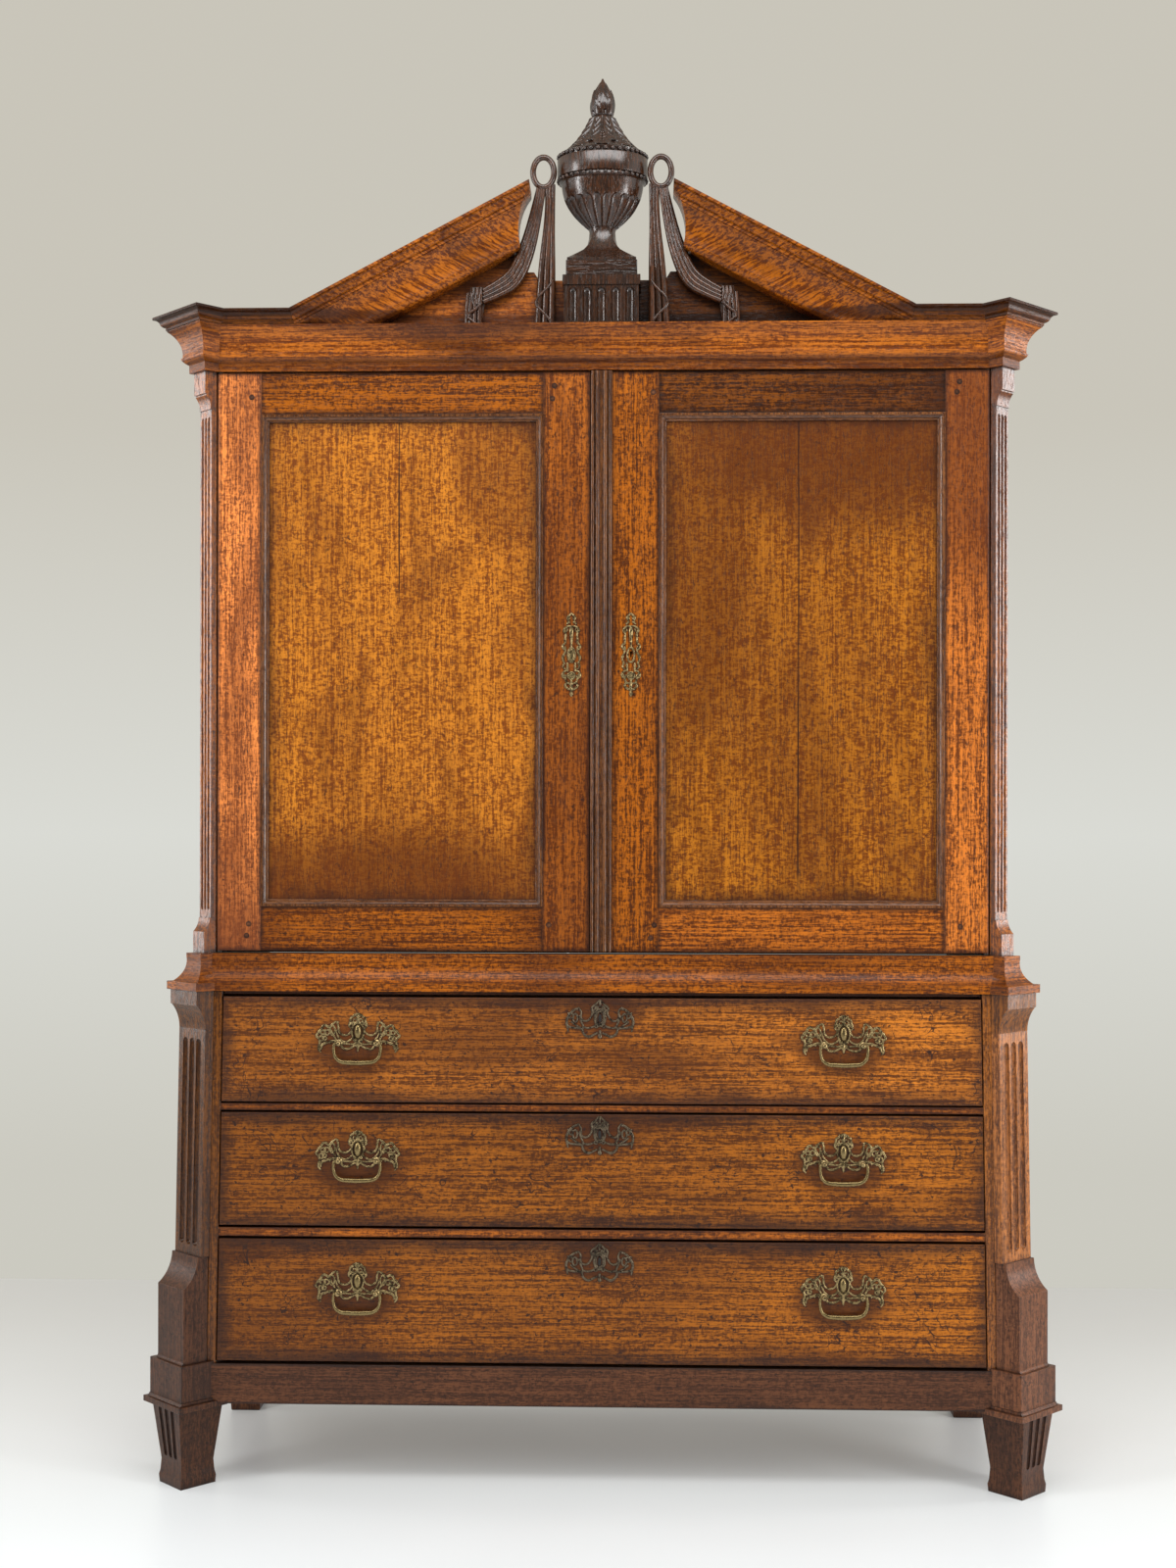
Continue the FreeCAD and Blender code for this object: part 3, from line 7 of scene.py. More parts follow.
import numpy as np
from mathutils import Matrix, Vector


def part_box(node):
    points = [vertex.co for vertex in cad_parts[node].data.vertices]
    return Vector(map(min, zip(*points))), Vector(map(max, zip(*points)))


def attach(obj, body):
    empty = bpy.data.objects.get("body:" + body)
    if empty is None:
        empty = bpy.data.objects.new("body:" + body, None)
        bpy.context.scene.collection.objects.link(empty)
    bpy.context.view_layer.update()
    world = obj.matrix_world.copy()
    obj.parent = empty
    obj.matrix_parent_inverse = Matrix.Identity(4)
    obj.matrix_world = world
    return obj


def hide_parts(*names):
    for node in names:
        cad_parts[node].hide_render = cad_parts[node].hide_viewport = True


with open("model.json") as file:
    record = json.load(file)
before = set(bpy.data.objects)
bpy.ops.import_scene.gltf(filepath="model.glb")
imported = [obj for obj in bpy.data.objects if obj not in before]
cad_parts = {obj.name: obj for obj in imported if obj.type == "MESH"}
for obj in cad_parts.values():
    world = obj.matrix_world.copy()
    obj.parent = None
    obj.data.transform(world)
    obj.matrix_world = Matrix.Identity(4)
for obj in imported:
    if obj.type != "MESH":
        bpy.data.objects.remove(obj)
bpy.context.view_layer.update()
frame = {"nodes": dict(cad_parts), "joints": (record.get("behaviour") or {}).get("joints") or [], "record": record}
record = frame["record"]
nodeBody = {node: body for body, members in record["behaviour"]["bodies"].items() for node in members}
nodeSlot = {part["node"]: part["material_slot"] for part in record["subparts"]}
dice = random.Random(23)
drawers = ("top_drawer", "middle_drawer", "bottom_drawer")
print("frame loaded with", len(frame["nodes"]), "nodes")


def linked(name, data):  # a new object that stands in the scene
    thing = bpy.data.objects.new(name, data)
    bpy.context.scene.collection.objects.link(thing)
    return thing


# nodes and shader maths

def addNode(tree, kind, sockets=None, **settings):  # settings first, then its sockets' values and links
    # a node given to a socket stands for its first output
    node = tree.nodes.new(kind)
    for key, value in settings.items():
        if key == "stops":
            for index, (at, colour) in enumerate(value):
                stop = node.color_ramp.elements[index] if index < 2 else node.color_ramp.elements.new(at)
                stop.position = at
                stop.color = (*colour, 1.0)
        else:
            setattr(node, key, value)
    for key, value in (sockets or {}).items():
        value = value.outputs[0] if isinstance(value, bpy.types.Node) else getattr(value, "socket", value)
        if isinstance(value, bpy.types.NodeSocket):
            tree.links.new(value, node.inputs[key])
        else:
            node.inputs[key].default_value = value
    return node


class Wire:  # a socket that can stand in a sum
    def __init__(self, finish, socket):
        self.finish = finish
        self.socket = socket

    def maths(self, how, first, second):
        return self.finish.out("ShaderNodeMath", {0: first, 1: second}, operation=how)

    def __add__(self, other):
        return self.maths("ADD", self, other)

    def __sub__(self, other):
        return self.maths("SUBTRACT", self, other)

    def __rsub__(self, other):
        return self.maths("SUBTRACT", other, self)

    def __mul__(self, other):
        return self.maths("MULTIPLY", self, other)

    def __truediv__(self, other):
        return self.maths("DIVIDE", self, other)

    def __rtruediv__(self, other):
        return self.maths("DIVIDE", other, self)

    def __abs__(self):
        return self.maths("ABSOLUTE", self, 0.0)

    __radd__ = __add__
    __rmul__ = __mul__


class Finish:  # the nodes of a new material or of the world, and the calls that fill them
    def __init__(self, name, owner=None):
        self.owner = owner or bpy.data.materials.new(name)
        self.owner.use_nodes = True
        self.tree = self.owner.node_tree
        self.tree.nodes.clear()

    def out(self, kind, sockets=None, result=0, **settings):
        return Wire(self, addNode(self.tree, kind, sockets, **settings).outputs[result])

    def scaled(self, vector, scale):
        return self.out("ShaderNodeVectorMath", {0: vector, 1: scale}, operation="MULTIPLY")

    def noise(self, vector, scale, detail, roughness, distortion=0.0):
        return self.out("ShaderNodeTexNoise", {"Vector": vector, "Scale": scale, "Detail": detail,
                                               "Roughness": roughness, "Distortion": distortion})

    def pick(self, kind, wires):  # the least or the greatest of them
        found = wires[0]
        for wire in wires[1:]:
            found = found.maths(kind, found, wire)
        return found

    def mask(self, wire, low, high):
        return self.out("ShaderNodeMapRange", {"Value": wire, "From Min": low, "From Max": high},
                        interpolation_type="SMOOTHSTEP")

    def blend(self, factor, first, second):
        first, second = [value if isinstance(value, Wire) else (*value, 1.0) for value in (first, second)]
        return self.out("ShaderNodeMix", {0: factor, 6: first, 7: second}, 2, data_type="RGBA")

    def parts(self, vector):
        return [Wire(self, output) for output in addNode(self.tree, "ShaderNodeSeparateXYZ", {0: vector}).outputs]

    def rays(self):  # what kind of ray looks, by name
        return {output.name: Wire(self, output) for output in addNode(self.tree, "ShaderNodeLightPath").outputs}

    def close(self, shader, kind):
        addNode(self.tree, kind, {"Surface": shader})
        return self.owner

    def surface(self, sockets, bump=None, strength=0.3):
        if bump is not None:
            sockets["Normal"] = self.out("ShaderNodeBump", {"Height": bump, "Strength": strength, "Distance": 0.0005})
        return self.close(self.out("ShaderNodeBsdfPrincipled", sockets), "ShaderNodeOutputMaterial")


# finishes

# light and dark are the wood, deep its darker figure, its stains and its painted shade, and the fourth colour is dirt
# in pores, scratches and joints, the darkening at edges and the painted shade in corners; lines, dashes and mottle
# share out the figure; rim is how far the darkening reaches in from the edges, in metres; the rest runs from 0 to 1
oakBase = dict(lines=0.45, dashes=0.35, mottle=0.2, rim=0.010, cloud=0.6, stain=0.5, wear=0.5, scratch=0.2,
               gloss=0.36, shine=0.25, pores=0.6, edge=0.75, crevice=0.85)
oakLooks = {
    "oak_panel": dict(
        oakBase, light=(0.53, 0.178, 0.010), dark=(0.175, 0.041, 0.002), deep=(0.105, 0.023, 0.001),
        dirt=(0.030, 0.009, 0.005), lines=0.3, dashes=0.3, mottle=0.4, rim=0.055, cloud=0.7, stain=0.45, scratch=0.1,
        gloss=0.4, shine=0.2,
        # open joints between the boards: place across, then where one starts and ends in height
        seams=[(-0.380, 1.655, 1.985), (0.3675, 1.13, 1.985)],
        # painted shade, soft darker places where less light falls, to which the drawers add old polish round the
        # brass: place across and in height, reach across and in height, strength
        shadows=[(-0.38, 1.08, 0.36, 0.19, 0.85), (-0.17, 1.93, 0.12, 0.22, 0.5), (0.48, 1.98, 0.36, 0.26, 0.85),
                 (0.18, 1.75, 0.12, 0.40, 0.6), (0.38, 1.05, 0.3, 0.07, 0.6), (0.36, 1.50, 0.22, 0.40, 0.3)]),
    "oak_frame": dict(
        oakBase, light=(0.455, 0.121, 0.005), dark=(0.092, 0.020, 0.001), deep=(0.075, 0.015, 0.001),
        dirt=(0.022, 0.007, 0.004), lines=0.4, mottle=0.25, cloud=0.8, stain=0.55, wear=0.7, scratch=0.15, gloss=0.34,
        # painted shade on the top of the right outer stile, the foot of the left outer stile and the inner stile
        shadows=[(0.70, 2.02, 0.13, 0.45, 0.75), (-0.70, 1.02, 0.13, 0.20, 0.5), (-0.08, 1.35, 0.11, 0.75, 0.5)]),
    "oak_drawer": dict(
        oakBase, light=(0.515, 0.157, 0.010), dark=(0.100, 0.026, 0.002), deep=(0.068, 0.017, 0.002),
        dirt=(0.024, 0.009, 0.006), rim=0.038, cloud=0.75, stain=0.7, wear=0.9, scratch=0.95,
        # painted shade over the left end and the middle of the drawers
        shadows=[(-0.66, 0.55, 0.34, 0.60, 0.5), (-0.05, 0.60, 0.45, 0.60, 0.3)]),
    "oak_side": dict(
        oakBase, light=(0.36, 0.105, 0.014), dark=(0.16, 0.04, 0.006), deep=(0.08, 0.02, 0.004),
        dirt=(0.022, 0.008, 0.005), lines=0.4, mottle=0.25, rim=0.016, cloud=0.7, scratch=0.3, gloss=0.42),
    "oak_cornice": dict(
        oakBase, light=(0.42, 0.115, 0.007), dark=(0.115, 0.024, 0.002), deep=(0.042, 0.009, 0.001),
        dirt=(0.016, 0.006, 0.004), lines=0.5, mottle=0.15, rim=0.004, cloud=0.8, stain=0.6, scratch=0.1, gloss=0.28,
        # painted shadow lines along the fascia and along the top of the crown
        shadows=[(0.0, 2.088, 3.0, 0.014, 0.6), (0.0, 2.178, 3.0, 0.012, 0.8)]),
    "oak_moulding": dict(
        oakBase, light=(0.185, 0.066, 0.018), dark=(0.060, 0.019, 0.006), deep=(0.025, 0.009, 0.004),
        dirt=(0.010, 0.005, 0.004), lines=0.5, dashes=0.4, mottle=0.1, rim=0.001, cloud=0.4, stain=0.3, wear=0.3,
        scratch=0.0, gloss=0.16, shine=0.5),
    "oak_pilaster": dict(
        oakBase, light=(0.25, 0.078, 0.008), dark=(0.07, 0.020, 0.003), deep=(0.04, 0.011, 0.002),
        dirt=(0.012, 0.005, 0.004), dashes=0.4, mottle=0.15, rim=0.003, gloss=0.26, shine=0.35),
    "oak_dark": dict(
        oakBase, light=(0.145, 0.052, 0.020), dark=(0.055, 0.019, 0.008), deep=(0.030, 0.011, 0.006),
        dirt=(0.012, 0.006, 0.005), lines=0.4, dashes=0.4, rim=0.006, wear=0.7, scratch=0.5),
    "oak_carved": dict(
        oakBase, light=(0.052, 0.016, 0.004), dark=(0.018, 0.006, 0.002), deep=(0.010, 0.004, 0.002),
        dirt=(0.004, 0.002, 0.001), lines=0.5, dashes=0.4, mottle=0.1, rim=0.002, cloud=0.5, stain=0.4, wear=0.4,
        scratch=0.0, gloss=0.20, shine=0.75),
    "oak_back": dict(
        oakBase, light=(0.24, 0.125, 0.052), dark=(0.12, 0.06, 0.027), deep=(0.07, 0.038, 0.02),
        dirt=(0.03, 0.018, 0.01), lines=0.5, dashes=0.3, rim=0.016, wear=0.6, scratch=0.3, gloss=0.75, shine=0.3),
    "oak_inside": dict(
        oakBase, light=(0.40, 0.235, 0.11), dark=(0.25, 0.13, 0.056), deep=(0.17, 0.09, 0.04),
        dirt=(0.07, 0.035, 0.018), cloud=0.5, stain=0.4, gloss=0.6, shine=0.3),
}
oakLooks["oak_polished"] = dict(oakLooks["oak_frame"], gloss=0.18, shine=0.55, cloud=0.5)
oakLooks["oak_rake"] = dict(oakLooks["oak_cornice"], lines=0.75, dashes=0.15, mottle=0.10, rim=0.018, stain=0.4,
                            wear=0.3)
polishLook = {"keyDrop": 0.034, "keyReach": (0.09, 0.050), "bailDrop": 0.008, "bailReach": (0.105, 0.060),
              "depth": 0.85}
for drawer in drawers:  # old polish gathers round the brass
    marks = [(0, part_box(drawer + "_front")[1].z - polishLook["keyDrop"], *polishLook["keyReach"])]
    for bail in ("_bail_left", "_bail_right"):
        low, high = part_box(drawer + bail)
        marks.append(((low.x + high.x) / 2, high.z - polishLook["bailDrop"], *polishLook["bailReach"]))
    oakLooks["oak_drawer"]["shadows"] += [(*mark, polishLook["depth"]) for mark in marks]


oakNoises = {
    # turns in a metre along the grain, across it and into the board, then detail, roughness and distortion
    "cloud": ((2.4, 6.5, 6.5), 5.0, 0.62, 0.5), "lines": ((5.0, 220.0, 220.0), 4.0, 0.62, 0.5),
    "dashes": ((85.0, 330.0, 330.0), 3.0, 0.62), "mottle": ((230.0, 90.0, 90.0), 3.0, 0.6, 0.6),
    "pores": ((60.0, 700.0, 700.0), 2.0, 0.5), "patches": ((8.0, 14.0, 14.0), 6.0, 0.68, 0.4),
    "specks": ((100.0, 130.0, 130.0), 2.0, 0.5), "scrapes": ((24.0, 24.0, 24.0), 1.0, 0.5, 1.4),
    "worn": ((9.0, 9.0, 9.0), 2.0, 0.5),
}
oakMasks = {
    # where a mark starts and where it is full, on its noise or on how open a corner is
    "figure": (0.435, 0.565), "cloud": (0.42, 0.72), "pores": (0.56, 0.68), "stain": (0.56, 0.76),
    "specks": (0.64, 0.71), "scrapes": (0.003, 0.016), "worn": (0.52, 0.60), "open": (0.30, 0.86),
    "shadow": (0.15, 1.05), "seam": (0.0005, 0.0022), "seamBreaks": (0.3, 0.55),
}


def oakFinish(name, look):
    finish = Finish(name)
    grain, middle, half = [finish.out("ShaderNodeAttribute", result="Vector", attribute_name=title)
                           for title in ("grain", "middle", "half")]
    tone = finish.out("ShaderNodeAttribute", result="Fac", attribute_name="tone")
    cloud, lines, dashes, mottle, pores, patches, specks, scrapes, worn = [
        finish.noise(finish.scaled(grain, turns), 1.0, *rest) for turns, *rest in oakNoises.values()]

    def mark(title, wire):
        return finish.mask(wire, *oakMasks[title])

    streaks = lines * look["lines"] + dashes * look["dashes"] + mottle * look["mottle"]
    wood = finish.blend(mark("figure", streaks), look["dark"], look["light"])
    wood = finish.blend(mark("cloud", cloud) * look["cloud"], wood, look["deep"])
    x, y, z = finish.parts(finish.out("ShaderNodeTexCoord", result="Object"))
    # painted shade, and old polish round the drawers' brass: each spot darkens the wood towards deep
    for atX, atZ, wide, tall, depth in look.get("shadows", []):
        across, up = (x - atX) / wide, (z - atZ) / tall
        far = across * across + up * up + (cloud - 0.5) * 1.8
        wood = finish.blend((1.0 - mark("shadow", far)) * depth, wood, look["deep"])
    for atX, low, high in look.get("seams", []):
        away = abs(x - atX + (cloud - 0.5) * 0.004)
        run = finish.mask(z, low - 0.03, low + 0.02) * (1.0 - finish.mask(z, high, high + 0.03))
        gap = (1.0 - mark("seam", away)) * run * mark("seamBreaks", lines)
        wood = finish.blend(gap, wood, look["dirt"])
    gaps = [room - abs(at) for room, at in zip(finish.parts(half), finish.parts(middle))]
    nearest = sum(gaps[1:], gaps[0]) - finish.pick("MINIMUM", gaps) - finish.pick("MAXIMUM", gaps)
    rim = 1.0 - finish.mask(nearest + (patches - 0.5) * (look["rim"] * 2.0), 0.0, look["rim"])
    # painted shade: darker where ambient occlusion finds other surfaces near, in corners and recesses
    corner = finish.out("ShaderNodeAmbientOcclusion", {"Distance": 0.022}, "AO", samples=6)
    crevice = 1.0 - mark("open", corner)
    scratched = (1.0 - mark("scrapes", abs(scrapes - 0.5))) * mark("worn", worn)
    pored = mark("pores", pores)
    for amount, share, colour in ((pored, "pores", "dirt"), (mark("stain", patches), "stain", "deep"),
                                  (mark("specks", specks), "wear", "dirt"), (scratched, "scratch", "dirt"),
                                  (rim, "edge", "dirt"), (crevice, "crevice", "dirt")):
        wood = finish.blend(amount * look[share], wood, look[colour])
    # each board's tone sets how light its wood is; for boards listed with their own numbers it also paints light and
    # shade
    shade = finish.out("ShaderNodeHueSaturation", {"Color": wood, "Value": 0.4 + tone * 1.2,
                                                   "Saturation": 1.03 - tone * 0.06})
    gloss = look["gloss"] + (patches - 0.5) * 0.2 + pored * 0.2
    height = lines * 0.6 + dashes * 0.4 - pored * 0.8 - scratched * (look["scratch"] * 1.5)
    return finish.surface({"Base Color": shade, "Roughness": gloss, "Specular IOR Level": look["shine"]}, height)


metalNoises = {"mottle": (160.0, 4.0, 0.6), "pits": (900.0, 2.0, 0.5)}  # turns in a metre, detail, roughness
metalMasks = {"open": (0.45, 0.98), "tarnish": (0.30, 0.62)}


def metalFinish(name, look):
    finish = Finish(name)
    spot = finish.out("ShaderNodeTexCoord", result="Object")
    mottle, pits = [finish.noise(spot, *noise) for noise in metalNoises.values()]
    corner = finish.out("ShaderNodeAmbientOcclusion", {"Distance": look["crevice"]}, "AO", samples=6)
    bright = finish.mask(corner, *metalMasks["open"])
    metal = finish.blend(bright * finish.mask(mottle, *metalMasks["tarnish"]), look["dark"], look["light"])
    rough = look["gloss"] + (mottle - 0.5) * 0.25 + (1.0 - bright) * 0.25
    return finish.surface({"Base Color": metal, "Roughness": rough, "Metallic": look["metallic"]},
                          mottle * 0.6 + pits * 0.4, 0.35)


metalLooks = {
    # crevice is how near another surface has to be for dirt to stay, in metres
    "brass": dict(light=(0.38, 0.275, 0.125), dark=(0.030, 0.020, 0.010), crevice=0.006, gloss=0.26, metallic=0.9),
    "brass_grey": dict(light=(0.165, 0.125, 0.080), dark=(0.025, 0.018, 0.013), crevice=0.006, gloss=0.30,
                       metallic=0.85),
    "brass_bright": dict(light=(0.26, 0.19, 0.082), dark=(0.20, 0.14, 0.06), crevice=0.004, gloss=0.26, metallic=0.9),
    # painted shade of a keyhole
    "keyhole_dark": dict(light=(0.008, 0.006, 0.004), dark=(0.004, 0.003, 0.002), crevice=0.004, gloss=0.6,
                         metallic=0.0),
    "iron": dict(light=(0.16, 0.145, 0.13), dark=(0.04, 0.035, 0.03), crevice=0.006, gloss=0.5, metallic=0.8),
}
finishes = {name: oakFinish(name, look) for name, look in oakLooks.items()}
finishes.update({name: metalFinish(name, look) for name, look in metalLooks.items()})
print("finishes made:", len(finishes))


# wood, with softened edges and a grain direction for each board

def islands(mesh):  # the number of the solid that each vertex belongs to
    parent = np.arange(len(mesh.vertices))

    def root(index):
        while parent[index] != index:
            parent[index] = parent[parent[index]]
            index = parent[index]
        return index
    for edge in mesh.edges:
        a, b = root(edge.vertices[0]), root(edge.vertices[1])
        if a != b:
            parent[a] = b
    return np.array([root(index) for index in range(len(parent))])


# where the cornice and the waist turn the corner: past this x and behind this y they run along the sides
returns = {"x": 0.70, "y": -0.12, "level": 0.12}


def alongBoard(mode, at, spots):  # a slanted board, drawn by its right half and mirrored
    low, high = spots.min(0), spots.max(0)
    along = np.array(mode) * (-1.0 if mode.x and low[0] + high[0] > 0 else 1.0)
    along = np.array([along[0], along[1], abs(along[2])])
    across = np.array([-along[2], 0, along[0]])
    axes = np.array([along, across, np.cross(along, across)])
    return at @ axes.T, spots @ axes.T


def alongRun(normal, at):  # a moulding that follows the front and turns along the sides
    upright = np.linalg.norm(normal[:, :2], axis=1) < returns["level"]
    aside = (np.abs(at[:, 0]) > returns["x"]) & (at[:, 1] > returns["y"])
    normal[upright] = np.where(aside[upright, None], (1.0, 0, 0), (0, -1.0, 0))
    normal[:, 2] = 0
    normal /= np.linalg.norm(normal, axis=1)[:, None]
    along = np.stack([-normal[:, 1], normal[:, 0], normal[:, 2]], 1)
    laid = np.stack([(at * along).sum(1), at[:, 2], (at * normal).sum(1)], 1)
    return laid, laid


def aroundFrame(centre, at, spots):  # a frame moulding of four strips in one solid
    low, high = spots.min(0), spots.max(0)
    near = (high - low) / 2 - np.abs(centre - (low + high) / 2)
    laid = np.where((near[:, 2] < near[:, 0])[:, None], at[:, [0, 2, 1]], at[:, [2, 0, 1]])
    return laid, laid


def alongAxis(mode, at, spots):  # a straight board: the named axis first, or else the longest
    size = spots.max(0) - spots.min(0)
    order = sorted(range(3), key=lambda axis: (axis != "xyz".find(mode), -size[axis]))
    return at[:, order], spots[:, order]


toneRange = (0.36, 0.64)  # of a board whose tone is not written out
edgeLook = {"weld": 0.00002, "flat": 0.6, "sharp": 38, "segments": 2}  # metres, degrees, degrees, faces


def paintGrain(mesh, mode="auto", tones_and_shade=toneRange):
    # writes for each corner its place along and across its board, its board's size and its board's tone, which for
    # listed boards also paints light and shade
    places = np.array([vert.co for vert in mesh.vertices])
    loopVertex = np.array([corner.vertex_index for corner in mesh.loops])
    faceOf = np.repeat(range(len(mesh.polygons)), [face.loop_total for face in mesh.polygons])
    normals = np.array([face.normal for face in mesh.polygons])
    centres = np.array([face.center for face in mesh.polygons])
    grain, middle, half = [np.zeros((len(loopVertex), 3)) for values in range(3)]
    tone = np.zeros(len(loopVertex))
    group = islands(mesh)
    loopGroup = group[loopVertex]
    ordered = sorted(set(loopGroup.tolist()), key=lambda index: tuple(places[group == index].mean(0).round(3)))
    for count, one in enumerate(ordered):
        mine = loopGroup == one
        spots, at = places[group == one], places[loopVertex[mine]]
        shift = np.array([dice.uniform(-9, 9) for axis in range(3)])
        if isinstance(mode, Vector):
            laid, whole = alongBoard(mode, at, spots)
        elif mode == "run":
            laid, whole = alongRun(normals[faceOf[mine]].copy(), at)
        elif mode == "round":
            laid, whole = aroundFrame(centres[faceOf[mine]], at, spots)
        else:
            laid, whole = alongAxis(mode, at, spots)
        lowest, highest = whole.min(0), whole.max(0)
        grain[mine] = laid + shift
        middle[mine] = laid - (lowest + highest) / 2
        half[mine] = (highest - lowest) / 2
        tone[mine] = tones_and_shade[count % len(tones_and_shade)] if isinstance(tones_and_shade, list) else dice.uniform(*tones_and_shade)
    for name, values in (("grain", grain), ("middle", middle), ("half", half), ("tone", tone)):
        kind, field = ("FLOAT", "value") if name == "tone" else ("FLOAT_VECTOR", "vector")
        mesh.attributes.new(name, kind, "CORNER").data.foreach_set(field, values.ravel())


def settled(piece):  # the evaluated mesh of a piece, with its modifiers gone
    graph = bpy.context.evaluated_depsgraph_get()
    mesh = bpy.data.meshes.new_from_object(piece.evaluated_get(graph), preserve_all_data_layers=True, depsgraph=graph)
    name = piece.name
    bpy.data.objects.remove(piece)
    mesh.name = name
    return linked(name, mesh)


def place(piece, body, slot, *replaced):
    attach(piece, body)
    if replaced:
        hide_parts(*replaced)
    return piece


def solids(mesh):  # the triangles, solid by solid: a solid ends where no edge is left open
    spots = [tuple(round(value * 1e6) for value in vert.co) for vert in mesh.vertices]  # in micrometres
    loose, run = set(), []
    for face in mesh.polygons:
        run.append([mesh.vertices[index].co for index in face.vertices])
        ring = [spots[index] for index in face.vertices]
        for start, end in zip(ring, ring[1:] + ring[:1]):
            if (end, start) in loose:
                loose.remove((end, start))
            elif start != end:
                loose.add((start, end))
        if not loose:
            yield run
            run = []
    if run:
        yield run


def softened(node, soft, mode, finish=None, tones_and_shade=toneRange, keep=None):  # keep picks vertices by place
    mesh = bpy.data.meshes.new("waxed_" + node)
    mesh.materials.append(finishes[finish or nodeSlot[node]])
    work = bmesh.new()
    for solid in solids(frame["nodes"][node].data):
        fresh = []
        for corners in solid:
            ring = [work.verts.new(corner) for corner in corners]
            work.faces.new(ring)
            fresh += ring
        bmesh.ops.remove_doubles(work, verts=fresh, dist=edgeLook["weld"])
    if keep is not None:
        bmesh.ops.delete(work, geom=[vert for vert in work.verts if not keep(vert.co)], context="VERTS")
    bmesh.ops.dissolve_limit(work, angle_limit=math.radians(edgeLook["flat"]), verts=work.verts, edges=work.edges)
    for face in work.faces:
        face.smooth = True
    work.to_mesh(mesh)
    work.free()
    piece = linked("waxed_" + node, mesh)
    bevel = piece.modifiers.new("soft edge", "BEVEL")
    bevel.width = soft
    bevel.segments = edgeLook["segments"]
    bevel.limit_method = "ANGLE"
    bevel.angle_limit = math.radians(edgeLook["sharp"])
    bevel.harden_normals = True
    piece.modifiers.new("even shade", "WEIGHTED_NORMAL").keep_sharp = True
    piece = settled(piece)
    paintGrain(piece.data, mode, tones_and_shade)
    return place(piece, nodeBody[node], nodeSlot[node], node)


rakeSlope = math.radians(27.8)
woodJobs = {
    # node: edge softness in metres, grain direction
    "lower_corner_posts": (0.0012, "z"), "lower_sides": (0.001, "y"), "lower_back": (0.001, "x"),
    "drawer_rails": (0.001, "x"), "apron": (0.0015, "x"), "lower_boards": (0.001, "x"),
    "drawer_runners": (0.001, "y"), "lower_pilasters": (0.0012, "z"), "lower_pilaster_bases": (0.0015, "z"),
    "front_feet": (0.0015, "z"), "back_feet": (0.002, "z"), "waist_moulding": (0.0015, "run"),
    "upper_corner_posts": (0.001, "z"), "upper_sides": (0.001, "z"), "upper_back": (0.001, "z"),
    "upper_floor": (0.001, "x"), "upper_top": (0.001, "x"), "shelves": (0.0015, "x"),
    "shelf_bearers": (0.001, "y"), "upper_pilasters": (0.0008, "z"), "cornice_bed": (0.0012, "run"),
    "cornice_crown": (0.0012, "run"), "tympanum": (0.001, "x"), "urn_pedestal": (0.0012, "z"),
    "raking_cornices": (0.0012, Vector((-math.cos(rakeSlope), 0, -math.sin(rakeSlope)))),
}
for side in ("left", "right"):
    woodJobs.update({side + "_door_frame": (0.0008, "auto"), side + "_door_panel": (0.0005, "z"),
                     side + "_door_moulding": (0.0006, "round")})
woodJobs["right_door_astragal"] = (0.0007, "z")
for drawer in drawers:
    woodJobs.update({drawer + "_front": (0.0006, "x"), drawer + "_box": (0.001, "auto")})
boardTonesAndShade = {
    # one number for each solid from left to right, and upwards where they stand in line: 0.5 is as written;
    # a pair is the range that chance picks from
    # many numbers here are painted light and shade: lit and shaded sides of the pilasters, their bases, the feet, the
    # corner posts and the tympanum, a shaded crown, and frames, panels and drawers made lighter or darker to the
    # light that falls on them
    "left_door_frame": [1.40, 0.42, 0.32, 0.60], "right_door_frame": [0.40, 0.58, -0.02, 0.85],
    "left_door_panel": [0.56], "right_door_panel": [0.40], "drawer_rails": [0.62], "top_drawer_front": [0.62],
    "middle_drawer_front": [0.43], "bottom_drawer_front": [0.42], "apron": [0.42], "waist_moulding": [0.42],
    "lower_pilasters": [0.12, 0.12, 1.25, 0.55], "lower_corner_posts": [0.30, 0.80], "tympanum": [0.75, -0.15],
    "cornice_crown": (-0.05, 0.12), "cornice_bed": (0.48, 0.62), "lower_pilaster_bases": [0.22] * 5 + [0.85] * 5,
    "front_feet": [0.12, 0.34], "raking_cornices": [0.50, 0.36], "upper_sides": [0.50, 0.52],
    "lower_sides": [0.46, 0.44],
}
woodFinishes = {"lower_pilasters": "oak_pilaster", "lower_corner_posts": "oak_pilaster",
                "lower_pilaster_bases": "oak_dark", "upper_pilasters": "oak_polished",
                "upper_corner_posts": "oak_polished", "raking_cornices": "oak_rake"}
for node, (soft, mode) in woodJobs.items():
    softened(node, soft, mode, woodFinishes.get(node), boardTonesAndShade.get(node, toneRange))
print("wood softened:", len(woodJobs), "nodes")

for node, piece in frame["nodes"].items():
    if nodeSlot[node] in ("iron", "brass"):
        piece.data.materials.clear()
        piece.data.materials.append(finishes[nodeSlot[node]])


# turned, carved and cast pieces

def smoothLine(points, steps):  # a soft curve through points of any dimension
    spots = [np.array(point, float) for point in points]
    spots = [2 * spots[0] - spots[1]] + spots + [2 * spots[-1] - spots[-2]]
    line = []
    for index in range(1, len(spots) - 2):
        before, start, end, after = spots[index - 1:index + 3]
        for step in range(steps):
            t = step / steps
            line.append(0.5 * (2 * start + (end - before) * t + (2 * before - 5 * start + 4 * end - after) * t * t
                               + (3 * start - before - 3 * end + after) * t ** 3))
    return line + [spots[-2]]


